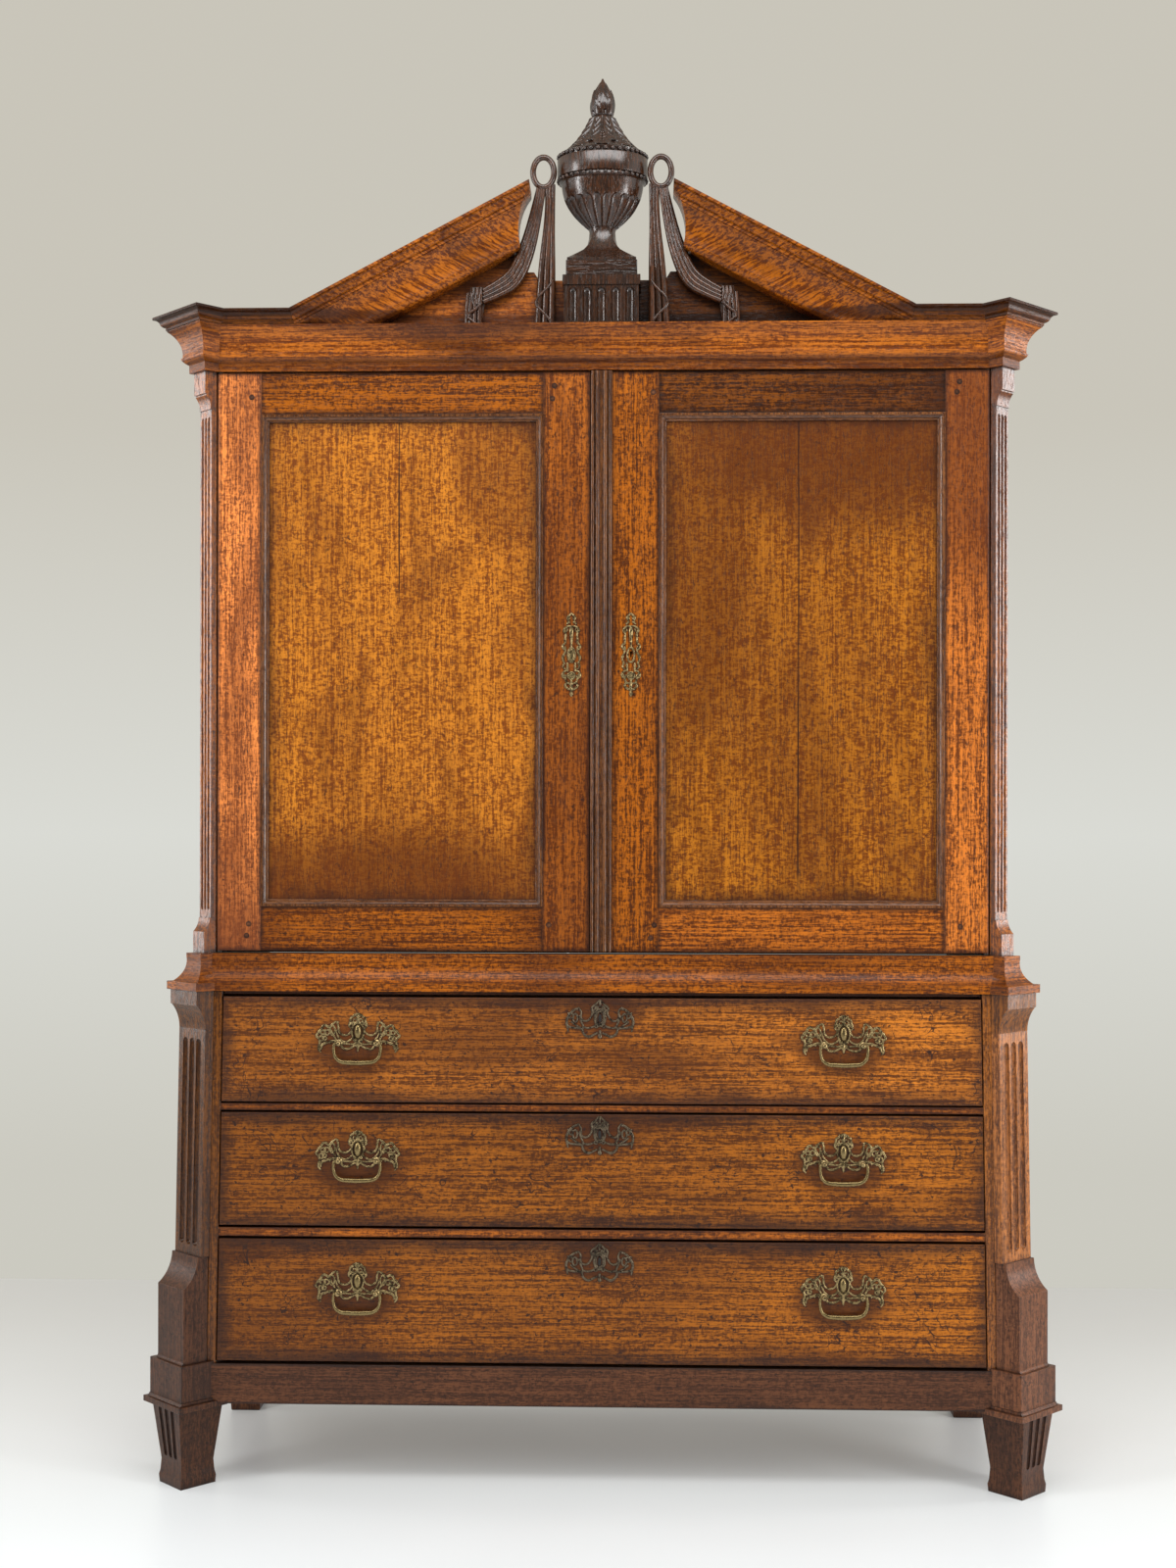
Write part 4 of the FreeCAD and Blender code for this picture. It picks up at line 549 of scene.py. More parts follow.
def turned(name, outline, sides, carve=None, centre=(0, 0), finish="oak_carved"):
    # outline runs upwards as radius and height; carve changes the radius by angle and height
    verts, faces = [(*centre, outline[0][1])], []
    for radius, height in outline:
        for side in range(sides):
            angle = 2 * math.pi * side / sides
            reach = carve(angle, radius, height) if carve else radius
            verts.append((centre[0] + reach * math.cos(angle), centre[1] + reach * math.sin(angle), height))
    verts.append((*centre, outline[-1][1]))
    top = 1 + (len(outline) - 1) * sides
    for side in range(sides):
        after = (side + 1) % sides
        faces.append((0, 1 + after, 1 + side))
        for low in range(1, top, sides):
            faces.append((low + side, low + after, low + sides + after, low + sides + side))
        faces.append((top + side, top + after, top + sides))
    mesh = bpy.data.meshes.new(name)
    mesh.from_pydata(verts, [], faces)
    mesh.materials.append(finishes[finish])
    mesh.polygons.foreach_set("use_smooth", [True] * len(mesh.polygons))
    mesh.set_sharp_from_angle(angle=math.radians(46))
    return linked(name, mesh)


def nodeTree(name, inputs):  # a geometry tree with named inputs, and the node that gives them
    tree = bpy.data.node_groups.new(name, "GeometryNodeTree")
    for title, kind, value in [("Geometry", "Geometry", None)] + inputs + [("Finish", "Material", None)]:
        socket = tree.interface.new_socket(title, in_out="INPUT", socket_type="NodeSocket" + kind)
        if value is not None:
            socket.default_value = value
    tree.interface.new_socket("Geometry", in_out="OUTPUT", socket_type="NodeSocketGeometry")
    return tree, addNode(tree, "NodeGroupInput").outputs


def closeTree(tree, made, given, smooth=True):  # real geometry in one finish, handed out
    made = addNode(tree, "GeometryNodeRealizeInstances", {"Geometry": made})
    if smooth:
        made = addNode(tree, "GeometryNodeSetShadeSmooth", {"Geometry": made})
    coated = addNode(tree, "GeometryNodeSetMaterial", {"Geometry": made, "Material": given["Finish"]})
    addNode(tree, "NodeGroupOutput", {0: coated})
    return tree


def useTree(piece, tree, values):
    modifier = piece.modifiers.new(tree.name, "NODES")
    modifier.node_group = tree
    for item in tree.interface.items_tree:
        if item.item_type == "SOCKET" and item.in_out == "INPUT" and item.name in values:
            modifier[item.identifier] = values[item.name]
    return settled(piece)


def scrollTree():  # swells a round or flattened bar along each curve
    tree, given = nodeTree("scrollwork", [("Bar Sides", "Int", 8), ("Flatness", "Float", 1.0),
                                          ("Plane Y", "Float", 0.0)])
    ring = addNode(tree, "GeometryNodeCurvePrimitiveCircle", {"Resolution": given["Bar Sides"], "Radius": 1.0})
    width = addNode(tree, "GeometryNodeInputRadius")
    bar = addNode(tree, "GeometryNodeCurveToMesh", {"Curve": given["Geometry"], "Profile Curve": ring, "Scale": width,
                                                    "Fill Caps": True})
    spot = addNode(tree, "GeometryNodeInputPosition")
    split = addNode(tree, "ShaderNodeSeparateXYZ", {0: spot})
    away = addNode(tree, "ShaderNodeMath", {0: split.outputs[1], 1: given["Plane Y"]}, operation="SUBTRACT")
    pressed = addNode(tree, "ShaderNodeMath", {0: away, 1: given["Flatness"], 2: given["Plane Y"]},
                      operation="MULTIPLY_ADD")
    joined = addNode(tree, "ShaderNodeCombineXYZ", {0: split.outputs[0], 1: pressed, 2: split.outputs[2]})
    moved = addNode(tree, "GeometryNodeSetPosition", {"Geometry": bar, "Position": joined})
    return closeTree(tree, moved, given)


def beadTree():  # equal beads standing in a level ring
    tree, given = nodeTree("bead ring", [
        ("Count", "Int", 42), ("Ring Radius", "Float", 0.08), ("Bead Radius", "Float", 0.0035),
        ("Stretch", "Vector", (1.0, 1.0, 1.0)), ("Place", "Vector", (0, 0, 0))])
    ring = addNode(tree, "GeometryNodeMeshCircle", {"Vertices": given["Count"], "Radius": given["Ring Radius"]})
    bead = addNode(tree, "GeometryNodeMeshUVSphere", {"Segments": 10, "Rings": 7, "Radius": given["Bead Radius"]})
    spots = addNode(tree, "GeometryNodeInstanceOnPoints", {"Points": ring, "Instance": bead,
                                                           "Scale": given["Stretch"]})
    moved = addNode(tree, "GeometryNodeTransform", {"Geometry": spots, "Translation": given["Place"]})
    return closeTree(tree, moved, given)


def pegTree():  # one dowel end on every point
    tree, given = nodeTree("dowel pegs", [("Peg Radius", "Float", 0.005), ("Peg Length", "Float", 0.003)])
    peg = addNode(tree, "GeometryNodeMeshCylinder", {"Vertices": 14, "Radius": given["Peg Radius"],
                                                     "Depth": given["Peg Length"]})
    turn = addNode(tree, "FunctionNodeInputVector", vector=(math.radians(90), 0, 0))
    spots = addNode(tree, "GeometryNodeInstanceOnPoints", {"Points": given["Geometry"], "Instance": peg,
                                                           "Rotation": turn})
    return closeTree(tree, spots, given, False)


scrolls, beads, pegs = scrollTree(), beadTree(), pegTree()


def scrollwork(name, strips, plane, flatness, finish, sides=8):
    # a strip is its points: x, y, z and bar radius, in metres; it is closed if it ends where it starts
    curve = bpy.data.curves.new(name, "CURVE")
    curve.dimensions = "3D"
    curve.resolution_u = 5
    for points in strips:
        closed = points[0] == points[-1]
        points = points[:-1] if closed else points
        spline = curve.splines.new("BEZIER")
        spline.bezier_points.add(len(points) - 1)
        spline.use_cyclic_u = closed
        for bend, (x, y, z, radius) in zip(spline.bezier_points, points):
            bend.co = (x, y, z)
            bend.radius = radius
            bend.handle_left_type = bend.handle_right_type = "AUTO"
    return useTree(linked(name, curve), scrolls, {"Bar Sides": sides, "Flatness": flatness, "Plane Y": plane,
                                                  "Finish": finishes[finish]})


def bothSides(strips):  # the same strips on the left and the right
    return [[(-x, z, radius) for x, z, radius in points] for points in strips] + strips


def oval(x, z, wide, tall, bar, count=10):
    angles = [2 * math.pi * step / count for step in range(count)]
    points = [(x + wide * math.cos(angle), z + tall * math.sin(angle), bar) for angle in angles]
    return points + points[:1]


def setOn(strips, middle, y):  # millimetres on the plate to metres on the cabinet
    return [[(middle[0] + x / 1000, y, middle[1] + z / 1000, radius / 1000) for x, z, radius in points]
            for points in strips]


def joinPieces(name, pieces):
    work = bmesh.new()
    for piece in pieces:
        work.from_mesh(piece.data)
    mesh = bpy.data.meshes.new(name)
    work.to_mesh(mesh)
    work.free()
    mesh.materials.append(pieces[0].data.materials[0])
    for piece in pieces:
        bpy.data.objects.remove(piece)
    return linked(name, mesh)


# the urn and its lid

urnLook = {
    # heights and lengths in metres; fluteWide is a share of a flute's sector; depth is how flat the urn is in plan
    "flutes": 24, "fluteTop": 2.403, "fluteDepth": 0.0060, "fluteWide": 0.465, "fluteSpan": (2.349, 2.42),
    "leaves": 8, "leafRise": 0.0070, "leafSpan": (2.493, 2.556),
    "tongues": 5, "tongueRise": 0.0034, "tongueSpans": ((2.556, 2.594), (2.570, 2.613), (2.584, 2.628)),
    "squareBelow": 2.338, "squareOver": 0.040, "depth": 0.74, "flatAbove": 2.295, "flatOver": 0.065,
    "plinthHeight": 0.0295, "beads": 38, "beadRadius": 0.0042, "beadRing": 0.0825, "beadHeights": (2.4395, 2.4838),
}
urnLow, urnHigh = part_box("urn")
lidLow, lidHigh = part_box("urn_lid")
urnCentre = ((urnLow.x + urnHigh.x) / 2, (lidLow.y + lidHigh.y) / 2)


def within(share):
    return min(1.0, max(0.0, share))


def swell(share, wide):  # a half round across a leaf, a tongue or a flute
    return math.sqrt(1 - (share / wide) ** 2)


def offMiddle(turns):  # how far from the middle of its sector, at most a half
    return abs(turns % 1.0 - 0.5)


def fluteCarve(angle, radius, height):
    sector = 2 * math.pi / urnLook["flutes"]
    across = offMiddle(angle / sector) * sector * radius
    wide = urnLook["fluteWide"] * sector * radius
    over = height - (urnLook["fluteTop"] - wide)
    if over > 0:  # the round head of the flute
        wide = math.sqrt(max(wide * wide - over * over, 0.0))
    low, high = urnLook["fluteSpan"]
    if across >= wide or wide < 0.0004 or height > high or height < low:
        return radius
    return radius - urnLook["fluteDepth"] * within(radius / 0.05) * swell(across, wide)


def leafCarve(angle, radius, height):
    low, high = urnLook["leafSpan"]
    up = (height - low) / (high - low)
    if up < 0 or up > 1.0:
        return radius
    rise = 0.0
    for offset, foot, head in ((0.0, 0.16, 1.2), (0.5, -0.05, 0.52)):  # long leaves, and short ones between
        share = offMiddle(angle * urnLook["leaves"] / (2 * math.pi) + offset)
        along = (up - foot) / (head - foot)
        if 0 < along < 1:
            wide = 0.46 * min(1.0, math.sqrt(along * 2.2)) * (1.0 if head > 1 else min(1.0, (1 - along) * 3))
            if share < wide:
                vein = max(0.0, 1 - share / 0.05) * 0.4
                lobes = 0.16 * math.cos(along * 34 - share * 22)
                rise = max(rise, swell(share, wide) * (0.85 + lobes) - vein)
    return radius + urnLook["leafRise"] * rise * min(1.0, radius / 0.035)


def flameCarve(angle, radius, height):
    rise = -0.3
    for tier, (foot, head) in enumerate(urnLook["tongueSpans"]):
        along = (height - foot) / (head - foot)
        if 0 <= along <= 1:
            share = offMiddle(angle * urnLook["tongues"] / (2 * math.pi) + tier * 0.5 + along * 0.28)
            wide = 0.5 * (1 - along ** 1.6)
            if share < wide:
                ridge = max(0.0, 1 - share / 0.09) * 0.35
                rise = max(rise, swell(share, wide) * (1.0 - 0.2 * tier) + ridge * along)
    return max(radius + urnLook["tongueRise"] * rise * min(1.0, radius / 0.012), 0.0004)


def squareCarve(angle, radius, height):  # round at the neck, square on the block
    square = within((urnLook["squareBelow"] - height) / urnLook["squareOver"])
    return radius * ((1 - square) + square / max(abs(math.cos(angle)), abs(math.sin(angle))))


# outlines of the urn from the block up: radius and height in metres
stemLine = [(0.064, 2.2735), (0.064, 2.279), (0.0605, 2.2812), (0.053, 2.287), (0.044, 2.294), (0.035, 2.303),
            (0.029, 2.315), (0.0255, 2.33), (0.0245, 2.343), (0.0262, 2.35)]
bowlLine = [(0.02, 2.346), (0.0262, 2.3485), (0.035, 2.356), (0.0455, 2.366), (0.056, 2.3775), (0.064, 2.389),
            (0.0705, 2.402), (0.0745, 2.415), (0.0768, 2.428), (0.0778, 2.4345)]
bandLine = [(0.07, 2.433), (0.08, 2.4345), (0.0818, 2.436), (0.08, 2.4385), (0.08, 2.4425), (0.0845, 2.444),
            (0.085, 2.446), (0.085, 2.477), (0.084, 2.4788), (0.077, 2.4795)]
rimLine = [(0.077, 2.479), (0.08, 2.48), (0.08, 2.4865), (0.0812, 2.4885), (0.078, 2.4905)]
lidLine = [(0.07, 2.4925), (0.06, 2.5), (0.05, 2.509), (0.0405, 2.52), (0.033, 2.532), (0.0265, 2.545),
           (0.0222, 2.556)]
flameLine = [(0.014, 2.56), (0.0178, 2.564), (0.02, 2.574), (0.0206, 2.585), (0.0182, 2.598), (0.0138, 2.6095),
             (0.0085, 2.6195), (0.0038, 2.628), (0.0012, 2.6332)]
urnPieces = [turned("stem", stemLine, 96, squareCarve, urnCentre),
             turned("bowl", smoothLine(bowlLine, 7), 320, fluteCarve, urnCentre),
             turned("band", bandLine, 96, None, urnCentre)]
lidPieces = [turned("lid", rimLine + smoothLine(lidLine, 8) + [(0.0218, 2.5590), (0.0190, 2.5610)], 256, leafCarve,
                    urnCentre),
             turned("flame", smoothLine(flameLine, 8), 120, flameCarve, urnCentre)]
for height, pieces in zip(urnLook["beadHeights"], (urnPieces, lidPieces)):
    pieces.append(useTree(linked("beads", bpy.data.meshes.new("beads")), beads, {
        "Count": urnLook["beads"], "Ring Radius": urnLook["beadRing"], "Bead Radius": urnLook["beadRadius"],
        "Stretch": (1.0, 1.0, 0.9), "Place": (*urnCentre, height), "Finish": finishes["oak_carved"]}))
for node, pieces in (("urn", urnPieces), ("urn_lid", lidPieces)):
    piece = joinPieces("carved_" + node, pieces)
    for vert in piece.data.vertices:  # oval in plan above the stem
        flat = within((vert.co.z - urnLook["flatAbove"]) / urnLook["flatOver"])
        vert.co.y = urnCentre[1] + (vert.co.y - urnCentre[1]) * (1.0 - (1.0 - urnLook["depth"]) * flat)
    paintGrain(piece.data, "z", (0.3, 0.7))
    place(piece, "cabinet", "oak_carved", node)
softened("urn", 0.0012, "x", keep=lambda spot: spot.z < urnLow.z + urnLook["plinthHeight"])
print("urn carved")


# the hangings beside the urn

def slab(name, outline, front, back, finish):  # a flat board of any outline, in millimetres
    work = bmesh.new()
    face = work.faces.new([work.verts.new((x / 1000, front, z / 1000)) for x, z in outline])
    for made in bmesh.ops.extrude_face_region(work, geom=[face])["geom"]:
        if isinstance(made, bmesh.types.BMVert):
            made.co.y = back
    bmesh.ops.recalc_face_normals(work, faces=work.faces)
    mesh = bpy.data.meshes.new(name)
    work.to_mesh(mesh)
    work.free()
    mesh.materials.append(finishes[finish])
    return linked(name, mesh)


drapeLow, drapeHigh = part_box("drapery")
hangLook = {
    # millimetres across and in height, but for face, hemFace and boards, which are depths in metres
    "ring": (109.7, 2449.0, 19.6, 28.0, 5.6, 16), "folds": 3, "swagFolds": 4, "foot": 2158.5,
    "face": drapeLow.y + 0.007, "hemFace": drapeLow.y + 0.002, "boards": drapeLow.y + 0.008,
}
foot = hangLook["foot"]
upperEdge = smoothLine([(121, 2424), (135, 2366), (150, 2315), (177, 2263), (222, 2232)], 2)
lowerEdge = smoothLine([(106, 2420), (119, 2345), (136, 2280), (163, 2232), (222, 2204)], 2)
hanging = [oval(*hangLook["ring"])]
for fold in range(hangLook["folds"]):  # the straight fall
    share = fold / (hangLook["folds"] - 1)
    hanging.append([(103 - 12 * share, 2426, 3.6), (103.5 - 11 * share, 2370, 4.4),
                    (113 - 20 * share, 2270, 6), (120 - 26 * share, foot, 7.2)])
for fold in range(hangLook["swagFolds"]):  # the swag, between its two edges
    share = (fold + 0.5) / hangLook["swagFolds"]
    hanging.append([(*(upper * (1 - share) + lower * share),
                     0.62 * np.linalg.norm(upper - lower) / hangLook["swagFolds"] + 0.9)
                    for upper, lower in zip(upperEdge, lowerEdge)])
for x in (226, 233, 240):  # the knot and what hangs below it
    hanging.append([(x, 2203, 3.5), (x + 1, 2218, 5), (x, 2234, 3.5)])
for x, lean in ((229, 0.5), (236.5, 1.5), (244, 2.5), (250.5, 2.5)):
    hanging.append([(x, 2224, 3.4), (x + lean, 2195, 4.4), (x + lean, foot, 4.6)])
hems = [
    [(91, 2246, 2), (101, 2232, 3.2), (119, 2213, 3.4), (122, 2201, 3.2), (108, 2184, 3.2),
     (95, 2168, 3), (92, foot, 2.6)],
    [(226, 2203, 2.4), (238, 2192, 3.2), (250, 2180, 3), (240, 2169, 3), (229, foot, 2.6)],
]
drapePieces = [scrollwork(name, setOn(bothSides(strips), (0, 0), at), at, flat, "oak_carved", sides)
               for name, strips, at, flat, sides in (("drapes", hanging, hangLook["face"], 1.15, 10),
                                                     ("hems", hems, hangLook["hemFace"], 1.0, 8))]
backing = ([(88, 2426), (104, 2426), (106.5, 2370), (118, 2270), (126, foot), (90, foot)],
           upperEdge + lowerEdge[::-1],
           [(220, 2236), (246, 2236), (256, foot), (227, foot), (220, 2203)])
for hand in (-1, 1):
    for outline in backing:
        drapePieces.append(slab("board", [(hand * x, z) for x, z in outline], hangLook["boards"], drapeHigh.y,
                                "oak_carved"))
carvedDrapes = joinPieces("carved_drapery", drapePieces)
paintGrain(carvedDrapes.data, "z", (0.9, 1.2))
place(carvedDrapes, "cabinet", "oak_carved", "drapery")
print("hangings carved")


# brass

handleLook = {
    # right half of the back plate, in millimetres from the middle of the pivots: x, z, bar radius
    "strips": [
        [(11, 27, 1.2), (15, 18.5, 1.6), (23, 14.6, 1.9), (30.5, 16, 2), (35.5, 22.5, 1.9), (36.5, 32, 1.9),
         (40, 40.5, 1)],
        [(40, 40, 1), (47, 35, 2.2), (53.5, 29, 2.4), (58, 31.5, 2.2), (63, 32.5, 2.4), (68.5, 25, 2.4),
         (74.5, 17.5, 2.4), (77, 12.5, 2), (72.5, 8.5, 2.2), (71, 0.5, 2.2), (72.5, -11.5, 2.6), (68.7, -17.5, 0.9)],
        [(38, 1.5, 1.8), (47, 3.4, 2.4), (57, 0.8, 2.2), (66, -3, 2.4), (69, -12, 2)],
        [(52.5, 27.5, 2), (47, 18, 1.7), (41, 7, 1.7), (38.5, 1, 1.8)],
        [(9, 11, 1.2), (15.5, 4.8, 1.7), (25.5, 2.2, 1.8), (33, 7, 1.8), (38, 14.5, 1.5), (40.5, 24, 1.2)],
        [(1.5, 1, 1.8), (10, -2.2, 1.6), (22, -1.6, 1.7), (30, -2.6, 1.9), (29, -8.2, 2.2), (20.5, -11, 2.2),
         (11, -8, 1.9), (4, -4.5, 1.7), (0.6, -9, 1.6)],
        [(3, 36, 1.4), (9.5, 38, 2), (14.5, 34, 2.4), (17, 30.5, 1.2)],
        [(6.5, 54, 1), (9, 48.5, 2.2), (12.5, 47, 1.8), (14, 40.5, 2), (16.5, 33, 1.6), (12.5, 27, 1.4)],
        [(0, 47, 1.6), (4, 51, 1.9), (1.5, 55.5, 1.6)],
        oval(5.4, 41, 3.4, 3.4, 1.3, 8), oval(12.4, 32, 3.2, 3.2, 1.3, 8), oval(47, 23, 4.4, 9, 1.6, 8),
        oval(57, 19.5, 4.6, 4.6, 1.7, 8), oval(67.5, 8, 4, 4.6, 1.6, 8), oval(64.5, 19.5, 4.8, 3.6, 1.7, 8),
        oval(62, 8.5, 3.6, 3.6, 1.6, 8), oval(5.5, 6, 2.6, 2.6, 1.2, 8),
    ],
    "middle": [oval(0, 21, 10.8, 16.4, 2, 14), [(0, 4, 2.6), (0, -4, 3.2), (0, -12, 2), (0, -15.5, 0.8)],
               [(0, 38, 2.2), (0, 46, 2.6), (0, 52, 1.8), (0, 55.5, 0.8)]],
    "balls": [(44, -0.5, 1.8), (51.5, -0.5, 1.8), (60.5, -2, 1.8), (25, -11.5, 1.6), (17, -10.5, 1.5), (60, 33, 2),
              (73, 22, 2), (75.5, 12, 1.9), (37, 38, 1.7)],
    "flat": 0.62, "finish": "brass",
}
keyPlateLook = {
    # right half of a drawer's keyhole plate, in millimetres from the middle of its top
    "strips": [
        [(1, -1.5, 1), (7.5, -9, 1.9), (15, -16.5, 2), (13.6, -24, 1.8), (16, -32, 1.7), (22, -39, 1.7),
         (29, -40, 1.8), (35, -34, 1.9), (34.6, -23.5, 1.8), (39.5, -15, 1)],
        [(39.5, -15.5, 1), (49, -21, 2.3), (57.5, -30.5, 2.3), (61.5, -41.5, 2.3), (60, -51, 2.2), (58.5, -60, 0.9)],
        [(60, -50, 2), (50.5, -52.5, 2), (39.5, -53.5, 1.8), (31, -55, 1.7)],
        [(53.5, -41, 1.5), (44, -48, 1.6), (34.5, -53.5, 1.6)],
        [(38.5, -30, 1.6), (34.5, -41, 1.7), (31, -50, 1.7), (32, -59, 1.9), (27.5, -66, 2.2), (19.5, -69, 2.2),
         (11.5, -65.5, 1.9), (4.5, -62, 1.8)],
        [(9.5, -49, 1.4), (16, -52, 1.7), (24, -53, 1.7), (31, -51, 1.6)],
        [(3, -13, 1.3), (8, -17, 1.6), (12.5, -24, 1.5)],
        oval(45.5, -34.5, 4.2, 7.6, 1.6, 8), oval(52.5, -31, 3.4, 4.4, 1.5, 8), oval(6.8, -49.5, 2.9, 2.9, 1.2, 8),
        oval(6.3, -15.6, 2.6, 2.6, 1.2, 8), oval(12, -22.5, 2.6, 3, 1.2, 8),
    ],
    "middle": [oval(0, -34, 9.8, 15.4, 1.9, 14), oval(0, -34, 6.8, 11.4, 1.7, 12),
               [(0, -57, 2), (0, -64, 2.4), (0, -70, 4.2), (0, -72.5, 1.6)],
               [(0, -14, 1.6), (0, -8, 2.4), (0, -1.5, 1)]],
    "balls": [(27, -67, 2), (20, -70, 1.8), (61.5, -36, 1.8), (42, -18.5, 2), (58, -26, 1.8)],
    "flat": 0.62, "finish": "brass_grey",
}
doorPlateLook = {
    # right half of a door's plate, in millimetres from its middle
    "strips": [
        [(0.6, 78, 1), (4, 73.5, 2.4), (7.4, 69.5, 1.8), (5, 64, 1.8)],
        [(3, 62, 2), (7, 59.5, 2), (9, 57, 1.2)],
        [(1, 53.5, 1.5), (7.5, 53, 1.9), (14, 45.5, 2), (11, 40.5, 1.8), (11.5, 30, 2), (12, 22, 1.8),
         (16.5, 17.5, 1.9), (15.5, 12, 1.6), (10.5, 9.5, 1.5)],
        [(12, 16, 1.6), (11.5, 6, 1.9), (17, -3.5, 1.6)],
        [(13.5, 0, 1.6), (16, -9, 1.7), (13, -15, 1.8), (15.5, -21, 1.7), (11, -27, 1.6)],
        [(7.6, -14, 1.6), (7, -22, 2), (7.2, -31, 1.6)],
        [(9, -29, 1.5), (15.5, -33, 1.8), (16, -41, 1.9), (11, -42, 1.6), (10, -37, 1.4)],
        [(12, -42, 1.6), (8.5, -51, 1.9), (2, -54, 1.6)],
        [(8.5, -51, 1.4), (11.5, -57, 2.2), (7, -62.5, 2.2), (2, -65, 1.8)],
        oval(10, 47, 2.4, 3.2, 1.2, 8), oval(15.6, -37.5, 2.2, 3, 1.2, 8),
    ],
    "middle": [oval(0, 0, 6.6, 13.6, 1.8, 12), oval(0, -38.8, 6.2, 6.6, 1.8, 10), oval(0, -38.8, 2.4, 2.6, 2, 8),
               [(0, 54, 2.2), (0, 45, 4.8), (0, 32, 3), (0, 18, 1.8), (0, 13, 1.4)],
               [(0, -46, 1.6), (0, -55, 2.8), (0, -63, 3), (0, -67.5, 1.8)],
               [(0, -67, 1.8), (0, -73, 4), (0, -77.5, 1.4)]],
    "balls": [(8, 58, 1.8), (16.5, 15, 2), (17, -5, 1.8), (15.5, -22.5, 1.8), (16, -34, 1.7), (10.5, -59, 1.9),
              (3.5, 68, 1.8)],
    "flat": 0.75, "finish": "brass",
}


def castPlate(name, look, middle, face):
    strips = bothSides(look["strips"]) + look["middle"]
    for x, z, radius in look["balls"]:  # a short fat bar is a ball
        for middleX in (-x, x):
            strips.append([(middleX + radius * step, z, bar) for step, bar in (
                (-1, 0.3), (-0.7, radius * 0.75), (0, radius * 1.15), (0.7, radius * 0.75), (1, 0.3))])
    return scrollwork(name, setOn(strips, middle, face), face, look["flat"], look["finish"])


def standing(piece, middle, face, wide=1.0, tall=1.0, rise=1.0):  # turns a turned piece to look out of the front
    for vert in piece.data.vertices:
        x, y, z = vert.co
        vert.co = (middle[0] + x * wide, face - z * rise, middle[1] + y * tall)
    return piece


def boss(name, middle, face, size, finish):  # a domed lens lying on a plate: half width, half height, rise
    rings = [(1.0, 0.0), (0.94, 0.34), (0.80, 0.62), (0.55, 0.86), (0.28, 0.97)]
    return standing(turned(name, rings, 24, finish=finish), middle, face, *size)


def post(middle, face, reach):  # turned post that a bail hangs from, in millimetres
    outline = [(6.6, -0.4), (6.6, 1.2), (5.2, 2.2), (3.6, 3.2), (3.2, reach - 9.5), (4.4, reach - 8.2),
               (5.3, reach - 5.4), (5.3, reach - 3.4), (4.0, reach - 1.0), (1.8, reach)]
    outline = [(radius / 1000, height / 1000) for radius, height in outline]
    return standing(turned("post", outline, 20, finish="brass"), middle, face)


bailLook = {
    # millimetres: half the width, place of the posts, hang below the pivots, how far the posts pass the pivot
    "wide": 43.0, "post": 35.0, "drop": 35.0, "past": 5.0,
    # bar radius at the bottom and at the sides
    "thick": 4.5, "thin": 2.5,
    # how deep the bar is for its height, and how many sides it has
    "flat": 0.85, "sides": 12,
}
lensLook = {"up": 0.021, "size": (0.0070, 0.0138, 0.0062)}
keyLook = {"plateDrop": 0.002, "holeDrop": 0.037, "holeSize": (0.0030, 0.0075, 0.0012)}
blindSize = (0.0052, 0.0120, 0.0018)
seat = 0.0009  # how far a casting's middle lies in front of the wood or plate behind it
lockDepth = 0.004  # what lies further behind the drawer's face than this is the lock
wide, drop, thin = bailLook["wide"], bailLook["drop"], bailLook["thin"]
halfBail = [(bailLook["post"] - 2, 0, 1.9), (bailLook["post"] + 4, 0, 2), (wide - 1, -1, 2.4),
            (wide + 0.4, -6, 2.7), (wide - 0.2, -16, thin + 0.3), (wide - 3.5, -26, 3.2),
            (wide - 12, 2 - drop, 3.8), (wide - 26, -drop, bailLook["thick"])]
bailLine = [(-x, z, radius) for x, z, radius in halfBail] + halfBail[::-1]
for drawer in drawers:
    frontLow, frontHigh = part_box(drawer + "_front")
    face = frontLow.y - seat
    castings, lenses = [], []
    for bail in (drawer + "_bail_left", drawer + "_bail_right"):
        pivot = next(item["pos_m"] for item in frame["joints"] if item["name"] == bail + "_hinge")
        middle = (pivot[0], pivot[2])
        castings.append(castPlate("plate", handleLook, middle, face))
        lenses.append(boss("lens", (middle[0], middle[1] + lensLook["up"]), face, lensLook["size"], "brass_bright"))
        for side in (-1, 1):
            castings.append(post((middle[0] + side * bailLook["post"] / 1000, middle[1]), frontLow.y,
                                 (frontLow.y - pivot[1]) * 1000 + bailLook["past"]))
        bar = scrollwork("cast_" + bail, setOn([bailLine], middle, pivot[1]), pivot[1], bailLook["flat"],
                         "brass_bright", bailLook["sides"])
        place(bar, bail, "brass", bail)
    place(joinPieces("cast_" + drawer + "_handles", castings), drawer, "brass", drawer + "_fittings")
    place(joinPieces("cast_" + drawer + "_lenses", lenses), drawer, "brass")
    keyTop = frontHigh.z - keyLook["plateDrop"]
    place(castPlate("cast_" + drawer + "_key_plate", keyPlateLook, (0, keyTop), face), drawer, "brass")
    # the keyhole is a dark disc on the plate: painted shade where the hole is
    keyhole = boss("cast_" + drawer + "_keyhole", (0, frontHigh.z - keyLook["holeDrop"]), face, keyLook["holeSize"],
                   "keyhole_dark")
    place(keyhole, drawer, "brass")
    softened(drawer + "_fittings", 0.0004, "x", "iron", keep=lambda spot: spot.y > frontLow.y + lockDepth)
